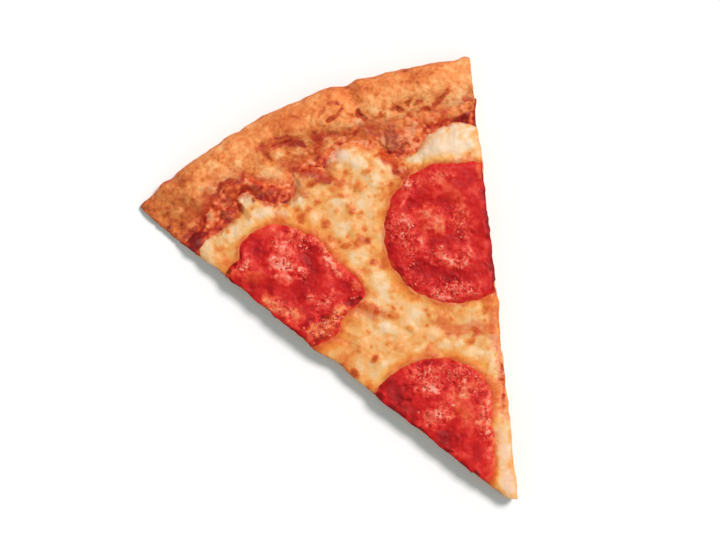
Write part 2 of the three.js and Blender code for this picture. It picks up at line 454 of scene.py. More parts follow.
RIM_MARKS = [
    # a long curved slit, broken into patches
    (-19.4, 168.8, 1.9, 1.5, 20, -0.35, 0.05, 0.85, 0.52),
    ([(-19.6, 165.2), (-18.7, 162.8)], 0.9, -0.4, 0.1, 0.75, 0.42),
    ([(-19, 168), (-15, 168.4), (-11, 167.4)], 2.1, -0.35, 0, 0.8, 0.64),
    ([(-15, 166.6), (-12, 166.2), (-9.5, 165.4)], 1.1, -0.4, 0.05, 0.9, 0.4),
    ([(-13, 168.8), (-9, 167.6)], 0.8, -0.3, 0.05, 0.65, 0.42),
    ([(-10, 165.2), (-7, 163.2), (-4.4, 160.9)], 1.4, -0.4, 0.05, 0.95, 0.34),
    ([(-9, 167), (-6, 164.6)], 1.1, -0.3, 0, 0.7, 0.58),
    # the deep crease where two swellings of the rim meet
    ([(20.6, 174), (20.4, 169), (20, 165)], 1.3, -0.35, 0.04),
    ([(19.4, 162.8), (19.2, 161.2), (20.4, 159.2)], 1, -0.8, 0.2, 0.85, 0.27),
    # the soft lobe left of the crease
    (12, 161.5, 6, 3.4, -8, 1, -0.12), ([(5, 160.5), (8, 159)], 1, -0.6, 0.1, 0.7, 0.3),
    ([(9, 158), (12, 156.6)], 1.2, -0.3, 0.12, 0.3, 0.45),
    (15.8, 155.8, 2.8, 1.5, 12, -0.4, 0.34, 0.35, 0.3),
    ([(7.4, 165), (10, 164.8), (12.4, 165.4), (14.2, 166.6)], 0.75, -0.5, 0.3, 0.5, 0.4),
    ([(14.2, 166.6), (14.9, 168.2)], 0.7, -0.3, 0.3, 0.3, 0.36),
    ([(5.3, 168.2), (8, 169.4)], 0.7, -0.3, 0.3, 0.3, 0.45),
    ([(11.5, 170), (14, 169.6)], 0.8, -0.2, 0.3, 0.3, 0.5),
    ([(15.4, 164.6), (17, 162)], 0.7, -0.3, 0.3, 0.1, 0.4), (1.4, 161.6, 2.5, 3, 0, -0.2, 0, 1, 0.38),
    (4.5, 161.5, 2, 3, 0, 0, 0, 0.45, 0.74), (-1, 164, 2.5, 1.8, 0, 0, 0, 0.3, 0.75),
    # short dark pits and the long slit right of the crease
    ([(32.2, 157.6), (33.6, 156.6), (34.6, 155.2)], 1.3, -0.45, 0.46, 0.4, 0.34),
    ([(37.2, 155.8), (38.6, 157.2)], 1, -0.4, 0.48, 0.2, 0.3),
    (27, 156.8, 2.1, 1.3, 20, -0.4, 0.5, 0.2, 0.35), (42, 154.9, 2, 1, -10, -0.4, 0.5, 0.2, 0.35),
    (36.2, 151.9, 3.2, 1.2, 0, -0.4, 0.4, 0.35, 0.36),
    ([(46, 150.6), (49.5, 151.8), (53, 153.2)], 1, -0.5, 0.44, 0.4, 0.32),
    (43, 150.8, 1.8, 1, -20, -0.3, 0.4, 0.5, 0.35), (30, 160.4, 1.4, 0.9, 10, -0.2, 0.25),
    (51, 157.6, 1.8, 0.9, 10, -0.2, 0.2), (28.6, 165, 1.6, 1, 20, -0.3, 0.2),
    (38, 162, 2.2, 1.2, 0, -0.2, 0.12), (58, 157, 1.4, 1, 0, -0.2, 0.15),
    # sauce smeared on the inner slope
    (46, 146.5, 8, 3.6, 5, 0.1, 0, 0.6, 0.68), (55, 142.5, 3.4, 3.6, 30, 0.1, 0.1, 1, 0.12),
    (59, 145, 3, 2.4, 60, 0, 0, 0.8, 0.45),
    ([(-15, 158.5), (-11, 156), (-8, 153.5)], 2.4, 0.1, 0, 0.7, 0.6),
    (-2.5, 155.5, 1.7, 2.8, -20, 0, 0, 0.7, 0.62),
    ([(20, 157), (24, 154.5), (30, 152.6)], 2, -0.2, 0.05, 0.35, 0.55),
    ([(-43, 161), (-40, 163.4), (-36, 163.8)], 1.1, 0, 0.1, 0.95, 0.2),
    (-36, 161.8, 5, 2, 0, 0, 0, 0.8, 0.6), (-50, 157, 6, 2.6, 38, 0, 0, 0.85, 0.52),
    (-59.5, 151.5, 4.4, 2.6, 35, 0, 0.1, 0.95, 0.15), (-31, 162.3, 1.8, 1.2, -40, 0.2, 0, 0.8, 0.35),
    (-45, 160.5, 4.4, 2, 25, 0.1, 0, 0.9, 0.38), (-27, 158.5, 1.8, 3.4, 50, 0, 0, 0.6, 0.45),
    (-15.4, 153, 3, 2.2, -20, 0, -0.12, -0.6), (-5, 153.8, 1.6, 1, -40, 0.4, -0.3, -0.9),
    ([(-3.6, 152.6), (-1, 157), (1, 160)], 1.3, 0.1, 0, 0.8, 0.5),
    (-12.6, 155.4, 2.4, 1.4, -40, 0, 0, 0.9, 0.3), (14, 155.2, 2.8, 1.2, 10, -0.3, 0.1, 0.5, 0.3),
    (5, 156.6, 4, 1.2, 0, 0, 0.05, -0.7), (12, 152.6, 3.4, 1.2, -20, 0.2, -0.3, -0.8),
    ([(18.4, 157), (21, 153.4), (24, 151.4)], 2, 0, 0, 0.6, 0.42),
    # browner and paler areas
    (-69, 166, 4, 12, 15, 0, 0.16), (-62, 156, 6, 7, 20, 0, 0.12), (-60, 162.5, 2.8, 1.8, 0, 0.3, -0.36),
    (-57.5, 156.4, 2, 1.3, 0, 0.3, -0.36), (-45.5, 165.3, 2.6, 1.9, 0, 0.3, -0.34),
    (-53, 171, 2, 1.4, 0, 0.2, 0.18), (-30.3, 167.6, 1.8, 1.7, 0, 0.3, -0.34),
    (-17, 172, 4.5, 2, 0, 0.2, -0.16), (-20, 158.8, 4.8, 2.8, -15, 0.2, -0.42),
    (-15.5, 162.5, 3, 1.6, 10, 0.2, -0.26), (-8, 160.2, 3, 1.6, -30, 0.2, -0.2),
    (4, 168, 4, 3, 0, 0.2, -0.12), (-4, 173, 2.2, 1.2, 0, 0, 0.14, 0.25, 0.6),
    (26, 169, 3, 1.8, 0, 0, 0.14), (47, 160, 6, 3, -15, 0.2, -0.1), (25, 161, 4, 2.4, -15, 0.1, -0.1),
]


def rim_share(p):
    """1 on the bare rim, 0 where the sauce covers the dough."""
    return smooth(6, 0, sauce_room(p))


def dough_top(p):
    """The dough's upper surface: pebbled and pitted on the rim, plain below the sauce."""
    relief = 0.35 * noise(p, 7, 22, octaves=2) + 0.16 * noise(p, 2.4, 23, octaves=2)
    pits = -0.35 * smooth(0.35, 0.1, near_cell(p, 3.2, 24))
    marks = read_marks(RIM_MARKS, p, wander=0.7)[0]
    return dough_form(p) + rim_share(p) * (relief + pits + marks - beside_cut(p, 0.9))


def film(p):
    """The sauce's own height, which runs out before the dough rises into the rim."""
    return SAUCE_HEIGHT * smooth(-1, 5, sauce_room(p))


def sauce_top(p):
    """The sauce's upper surface: lumpy, and drawn down where it meets the rim."""
    room = sauce_room(p)
    lumps = 0.45 * noise(p, 5, 31, octaves=2) + 0.2 * noise(p, 2, 32, octaves=2)
    marks = read_marks(SAUCE_MARKS, p, wander=0.6, seed=3)[0]
    height = dough_form(p) + film(p) * (1 + lumps)
    return height - 0.6 * smooth(2.4, 0, room) + marks * smooth(0, 1.5, room)


# Places across the slice, and over how many mm the cheese's border sinks into the sauce there.
CHEESE_END_SOFT = (
    [-62, -40, -34, -28, -20, 0, 8, 16, 24, 32, 56],
    [1, 2.4, 3, 4.5, 5.5, 4.5, 3.6, 5, 3.5, 1.2, 1],
)


def cheese_form(p):
    """The cheese's upper surface without its fine relief."""
    room = cheese_room(p)
    soft = np.interp(p[:, 0], *CHEESE_END_SOFT)
    sink = (0.45 + 0.13 * soft) * smooth(0.7 + 0.8 * soft, 0, room)
    return dough_form(p) + film(p) + CHEESE_HEIGHT * smooth(-3, 9, room) - sink


SAUCE_MARKS = [
    # left of the cheese's finger
    (-59.5, 149, 3.6, 2.8, 30, 0.6, -0.55), (-55, 150.6, 3, 1, 10, 0.3, -0.3),
    (-48, 155.2, 4.4, 2.8, 25, 0.8, 0.18),
    ([(-52, 156.4), (-48.6, 158.8), (-43, 161.8), (-37, 162.6)], 1.2, -0.2, -0.12),
    ([(-58.5, 150.6), (-55, 153.4)], 0.8, -0.2, -0.16), (-56, 153.2, 2, 1, 40, 0.3, 0.2),
    # the small lighter spot at (-53.6, 151.8) is a painted highlight on the dark sauce
    (-51.4, 153.4, 1.6, 1.2, 20, 0.3, 0.14), (-53.6, 151.8, 1.6, 1, 10, 0.4, 0.3),
    (-49, 150.3, 4.4, 0.9, 8, -0.2, -0.22), (-52, 156, 2.4, 1.4, 40, 0.3, -0.16),
    (-44, 152.6, 2.2, 2.4, -10, 0.5, -0.27, 0.6), (-41, 156.5, 2, 2.6, 10, 0.5, -0.25, 0.7),
    (-44.8, 158.4, 2.6, 1.2, 30, 0.3, -0.12),
    # right of it
    (-29.5, 155.5, 2.2, 2.2, -30, 0.5, -0.08, 0.6), (-26, 152.3, 2.6, 1.6, -35, 0.6, -0.1, 0.5),
    (-27, 156.4, 1.4, 2.4, 40, 0.3, -0.16), (-24, 149.6, 2, 1, -40, 0.2, -0.06),
    (-36, 160.8, 5, 1.8, 0, 0.3, 0.04), (-20, 149.4, 3.8, 2.8, 0, 0.3, 0.32),
    (-18.4, 151.6, 1.4, 1, 0, 0.3, 0.3), (-20.6, 148.6, 1.2, 0.8, 30, 0.4, -0.3),
    (-18.4, 147.6, 0.9, 0.7, 0, 0.3, -0.36), (-19.4, 150.6, 1, 0.7, -20, 0.3, -0.2),
    (-16.6, 149.8, 1.2, 0.8, 40, 0.3, -0.2),
    # the big blister beside the right cut, with a painted highlight on its upper left, and the sauce
    # round it
    (26, 146.2, 5.4, 4.4, -35, 1.3, 0, 1), (22.4, 148.4, 0.8, 1.8, -20, 0.5, 0.6, -0.7),
    ([(23, 143.4), (26, 141.8), (29.6, 142.4)], 1.5, -0.3, -0.6, 0.2),
    # the pale pink patch at (36, 145.8) is a painted highlight
    (36, 145.8, 3.8, 2.6, 5, 0.4, 0.38), (31, 149.6, 3, 1.4, -10, 0.2, -0.12),
    (41, 143.4, 3.6, 1, 0, 0.2, 0.04), (45, 146, 4, 1.8, 5, 0.3, 0.28),
    (55.4, 141.4, 3, 3, 30, 0.5, -0.62), ([(6, 157), (12, 155), (18, 154)], 1.5, -0.2, 0, 0.2),
    (-2, 155, 2.4, 2.4, 0, 0.2, -0.2), (-5.5, 154.6, 1.4, 1, -30, 0.4, 0.5),
    (-10, 152.5, 3, 1.6, -40, 0.2, -0.14), ([(-4, 152.6), (-2.4, 156.4)], 0.9, 0.1, -0.4),
    (-15.8, 153.2, 2.4, 1.6, -20, 0.1, 0.5), (14, 155.2, 2.8, 1, 10, -0.3, -0.5),
    (12, 152.6, 3.4, 1.2, -20, 0.2, 0.4),
    ([(18.4, 157), (21, 153.4), (26, 151.4), (30, 151.6)], 2, -0.1, -0.24, 0.4),
]


# -------- outlines of the pepperoni
# Bumps are (degrees round the disc, amount, width in degrees).
Disc = namedtuple("Disc", "centre radius bumps")
DISCS = {
    "right": Disc((30.7, 104.1), 28.2, [(190, 0.5, 40), (62, -1.3, 14)]),
    "left": Disc((-36, 116), 25, [
        (8, -4.2, 26), (48, -2.2, 16), (95, 1, 25), (328, 4.4, 17), (303, -1.6, 10), (284, 0.4, 12),
        (123, -2.4, 7),
    ]),
    "tip": Disc((-13, 42), 27, [(335, -4.8, 28), (20, 0.9, 18), (286, 3.2, 14)]),
}


def disc_radius(disc, turn):
    """The distance from a disc's middle to its edge, towards an angle in radians."""
    degrees = np.degrees(turn) % 360
    wave = sum(swell(disc.bumps, degrees + full) for full in (-360, 0, 360))
    ring = flat(disc.radius * np.cos(turn) + disc.centre[0], disc.radius * np.sin(turn) + disc.centre[1])
    return disc.radius + 0.3 + wave + 0.45 * noise(ring, 3.2, 71, octaves=3)


def outside_disc(disc, p):
    """How far points are outside a disc's edge."""
    x = p[:, 0] - disc.centre[0]
    y = p[:, 1] - disc.centre[1]
    return np.hypot(x, y) - disc_radius(disc, np.arctan2(y, x))


def outside_pepperoni(p):
    """How far points are outside the nearest slice of meat."""
    return np.minimum.reduce([outside_disc(disc, p) for disc in DISCS.values()])


# -------- relief of the cheese
CHEESE_MARKS = [
    # brown blisters
    (-1, 131, 2.3, 2.4, 0, 0.5, 0.4), (6, 137, 2.8, 2.2, -25, 0.4, 0.34),
    (-12.4, 130.6, 2.2, 1.5, 0, 0.4, 0.36), (-3.4, 118.6, 4.6, 2.6, -8, 0.15, 0.36),
    (-4.2, 118.8, 1.5, 1.2, 0, 0.3, -0.16), (-9.6, 120, 2.2, 1.3, 0, 0.3, 0.3),
    (-13, 125, 1.5, 1.4, 0, 0.3, 0.28), (-15.4, 139.4, 2.2, 1.6, 0, 0.3, 0.3),
    (-11.4, 139.8, 1.6, 1.4, 0, 0.3, 0.26), (-19, 137, 2, 2, 0, 0.2, 0.26),
    (-6, 133.6, 1.4, 1.2, 0, 0.2, 0.2), (-2.4, 137.8, 2.4, 1, -20, 0.2, 0.16),
    (11.2, 141, 2, 1.5, 0, 0.3, 0.32), (1, 141.6, 2.6, 1.4, -10, 0.2, 0.3),
    (4.6, 143.6, 2.2, 2, 0, 0.2, 0.22), (-6.5, 88, 3.2, 2.4, 10, 0.4, 0.3),
    (-4.5, 89.6, 1.2, 0.8, 0, 0.3, 0.3), (-3, 80, 2, 1.7, 0, 0.4, 0.38),
    (-20.8, 76.4, 1.8, 1.7, 0, 0.5, 0.46), (-30.3, 75, 1.7, 2.2, 0, 0.3, 0.45),
    (-12, 94, 2.6, 3.4, 25, 0.3, 0.3), (-15, 96.4, 3, 1.4, -60, 0.2, 0.26),
    (-11, 91.8, 1.5, 1.2, 0, 0.3, 0.3), (-14.4, 87, 1.4, 1.2, 0, 0.2, 0.28),
    (-18.6, 86.6, 2, 1, 0, 0.2, 0.22), (-21, 93, 3, 2, -10, 0.2, 0.24),
    (-13, 79.3, 1.8, 1.2, 0, 0.2, 0.22), (-24, 82.4, 2, 1.4, 0, 0.3, 0.2),
    (-10, 75.4, 2.4, 1.2, -20, 0.2, 0.16), (-46.6, 146, 1.3, 1.3, 0, 0.2, 0.38),
    (-6.5, 113, 1.4, 1.2, 0, 0.2, 0.14), (-10.5, 107, 1.6, 3, 10, 0.2, 0.18),
    (-1, 107, 1.2, 2, 0, 0.2, 0.18), (-7, 103, 1.4, 1.4, 0, 0.2, 0.12),
    (-3, 145, 3.2, 2.2, -15, 0.2, 0.36), (-9, 147.6, 3.6, 2.4, -30, 0.2, 0.34),
    (-27, 140.8, 2.6, 1.8, -30, 0.2, 0.36), (-22, 143.4, 2.6, 1.6, -30, 0.2, 0.28),
    (17, 132, 1.6, 1.2, 0, 0.2, 0.2), (14.5, 64.5, 2.2, 1.6, 0, 0.2, 0.34),
    (26.6, 73, 2.8, 1.8, 30, 0.2, 0.4), (23.6, 65, 2.4, 2.2, 0, 0.2, 0.32),
    (-28, 68.5, 2.8, 1.8, 40, 0.1, 0.3), (40, 135.5, 1.6, 0.7, 10, 0.1, 0.24),
    (49.4, 135.3, 1.2, 0.8, 30, 0.1, 0.24), (50, 138, 0.6, 0.6, 0, 0.1, 0.24),
    (50.5, 132.2, 0.6, 0.6, 0, 0.1, 0.18), (31, 139, 1.6, 1, 0, 0.1, 0.24),
    # pale, fatter cheese
    (44, 135.4, 12, 7.4, -12, 0.4, -0.46, -1), (34, 136, 8, 3.5, -10, 0.3, -0.34, -0.8),
    (52, 128, 3.5, 5, 25, 0, -0.3, -0.6), (-45, 145.5, 12, 3.2, -3, 0.4, -0.24, -0.6),
    (-32, 146.6, 5, 2.4, -10, 0.3, -0.3, -0.6), (-34.5, 153.6, 3.2, 3.4, 0, 0.35, -0.38, -1),
    (-56, 141, 3, 5, 15, 0, -0.16, -0.4), (4.6, 151.8, 4.2, 2.2, -12, 0.2, -0.46, -0.9),
    (10.4, 146.5, 3, 4.6, 10, 0.3, -0.36, -0.8), (14, 136, 5, 4.4, 0, 0.3, -0.24, -0.6),
    (-8, 126, 4.2, 2.6, 15, 0.3, -0.36, -0.8), (-5, 136.2, 5, 1.8, -10, 0.2, -0.22, -0.3),
    (-16, 134.6, 3, 2.6, 0, 0.2, -0.22, -0.5), (-17, 142.4, 3, 2.6, 0, 0.3, -0.3, -0.5),
    (3.6, 131.4, 2.4, 1.6, 0, 0.2, -0.16, -0.3), (-7.6, 113.4, 4, 3.4, -30, 0.3, -0.3, -0.6),
    (-5, 102, 4, 7, 0, 0.2, -0.18, -0.5), (4, 74, 2.4, 3, -20, 0.3, -0.26, -0.5),
    (-4, 71.6, 3.2, 1.8, 0, 0.2, -0.3, -0.5), (-13, 86, 5, 2.4, -20, 0.3, -0.3, -0.6),
    (-9, 82, 3, 1.8, -30, 0.2, -0.2, -0.3), (-27, 77.4, 2.8, 3, 0, 0.2, -0.2, -0.4),
    (-17, 72.6, 3, 1.8, 0, 0.2, -0.18, -0.3), (21, 76.6, 8, 2.2, -28, 0.3, -0.34, -0.7),
    (5.6, 68, 3, 2, -30, 0.2, -0.2, -0.3), (14, 60, 5, 2.2, -25, 0.3, -0.26, -0.5),
    (10.5, 65.6, 2.4, 1.6, -30, 0.2, -0.22, -0.3), (6, 23, 3.2, 14, -24, 0.1, -0.34, -1),
    (1, 9, 3.4, 8, -5, 0, -0.3, -1),
    # oil that has run out of the meat
    (1.5, 95, 2.8, 7, 15, -0.1, 0.1, 0.9), (1.2, 110, 2.2, 9, -4, -0.1, 0.1, 0.85),
    (7, 122, 5, 2.8, 50, -0.1, 0.06, 0.7), (-14, 109, 2.2, 7, 15, -0.1, 0.06, 0.7),
    (-17.5, 132, 2.4, 6, 20, -0.1, 0.06, 0.6), (-31, 88.6, 6, 2, -5, -0.1, 0.06, 0.6),
    (-12, 70, 11, 1.4, 0, -0.1, 0.04, 0.5), (7.5, 61.5, 4.5, 2, -50, -0.1, 0.04, 0.5),
    (14.5, 54, 2, 3.4, -20, -0.1, 0.02, 0.7), (-27.5, 70.5, 2.6, 3, 0, -0.1, 0.06, 0.6),
    (16, 130, 3, 4.5, -40, -0.1, 0.06, 0.5), (-20, 140, 4, 3, -40, 0, 0.12, 0.5),
]
CHEESE_STAINS = [
    # between the two lower slices of meat
    ([(8.5, 77), (10, 72), (15, 70), (20, 67.5), (24, 64)], 2.6, 0, 0, 0.6, 0.72),
    (19, 66.8, 2.4, 1.7, -10, 0.3, 0, 0.9, 0.52), (27, 69, 3, 5.5, -24, 0, 0, 0.6, 0.72),
    (23.5, 61, 2.4, 4, -20, 0, 0, 0.45, 0.76), (10.6, 71, 3, 2.6, 0, 0, 0, 0.55, 0.7),
    # where sauce shows through beside the rim
    ([(21, 143), (22.2, 138), (22, 134), (24, 132)], 2.6, 0.2, 0, 0.9, 0.5),
    (22, 136, 1.6, 3, 0, 0.3, 0, 0.7, 0.36), (29, 140.2, 5, 1.8, -20, 0, 0, 0.75, 0.62),
    (19.5, 141, 1.8, 4, 0, 0, 0, 0.45, 0.68), (-9, 152.5, 6, 3.6, -40, 0, 0, 0.7, 0.5),
    ([(-11, 155.6), (-9, 153), (-5, 149), (-3, 145.5)], 2.3, 0, 0, 0.7, 0.46),
    (-1, 149.4, 3.4, 2.8, 0, 0.2, 0, 0.5, 0.6), (-6, 147.6, 2.8, 3, -30, 0.3, 0, 0.8, 0.38),
    (-3.6, 144.6, 1.8, 1.3, -20, 0.3, 0, 0.9, 0.2), (-9.6, 146.6, 1.4, 1, 0, 0.2, 0, 0.7, 0.3),
    (-14, 144.4, 1.8, 1.2, -30, 0.2, 0, 0.5, 0.5), (-2, 155.5, 2.6, 2.8, -20, 0, 0, 0.85, 0.42),
    (-21, 148.6, 3.4, 2.8, 0, 0.4, 0, 0.85, 0.46), (-14, 148, 5, 2.6, 10, 0, 0, 0.35, 0.74),
    (-14.4, 151.4, 2, 2.4, 0, 0, 0, -0.8), (1, 141, 4, 2, -20, 0, 0, 0.3, 0.7),
    (-26, 141.4, 4, 2, -30, 0, 0, 0.55, 0.68), (17, 149, 2.4, 4, 30, 0, 0, 0.4, 0.7),
    # streaks on the finger of cheese that runs up to the rim
    ([(-38.8, 157), (-37.8, 153.6)], 0.9, 0, 0, 0.9, 0.46),
    ([(-37.6, 153.6), (-38.2, 150.6)], 0.8, 0, 0, 0.8, 0.5),
    ([(-35.4, 157), (-34.6, 154.6)], 0.5, -0.1, 0, 0.35, 0.4),
    ([(-32.6, 157), (-31.2, 154), (-31.6, 152)], 0.8, -0.1, 0, 0.9, 0.24),
    # below the left slice of meat
    ([(-20, 97), (-14.6, 95.5), (-11, 91)], 2.6, 0, 0, 0.6, 0.62),
    (-10, 101, 1.8, 5, 10, 0, 0, 0.5, 0.68),
    # the sloping edge beside the right cut
    ([(24, 59), (21.5, 53), (18, 45), (14.6, 38), (12.4, 34)], 2.2, -0.3, 0, 0.7, 0.84),
    ([(21.6, 52), (19.8, 48), (16.2, 40), (13.6, 35.4)], 0.9, -0.2, 0, 0.65, 0.42),
    (12.8, 43, 1.8, 7, -22, 0, 0, 0.4, 0.76), (6, 23, 3.4, 14, -24, 0, 0, 0.22, 1),
    (1, 9, 3.4, 8, -5, 0, 0, 0.22, 1), (18.4, 45.6, 0.8, 0.8, 0, -0.4, 0, 0.9, 0.1),
    (15.9, 39.6, 0.8, 0.8, 0, -0.4, 0, 0.9, 0.1), (20.4, 49.6, 0.6, 1.4, -24, -0.4, 0, 0.8, 0.15),
]


def cheese_top(p):
    """The cheese's upper surface: lumpy, calmer near the tip, and hollow under the meat."""
    lumps = 0.42 * noise(p, 9, 81, octaves=2) + 0.18 * noise(p, 3.6, 82) + 0.04 * noise(p, 1.4, 83)
    marks = read_marks(CHEESE_MARKS, p, wander=0.5, seed=5, rough=0.2)[0]
    marks += read_marks(CHEESE_STAINS, p, wander=0.6, seed=6)[0]
    away = outside_pepperoni(p)
    lip = (0.2 + 0.25 * noise(p, 4, 100)) * bell(away, -0.2, 1.8)
    calm = 1 - 0.6 * smooth(-4, 0, p[:, 0]) * smooth(45, 30, p[:, 1])
    cut = -0.8 * beside_cut(p, 1)
    hollow = smooth(-0.8, -2.2, away)
    return cheese_form(p) + (calm * lumps + marks + lip + cut) * (1 - hollow) - PRESSED_IN * hollow


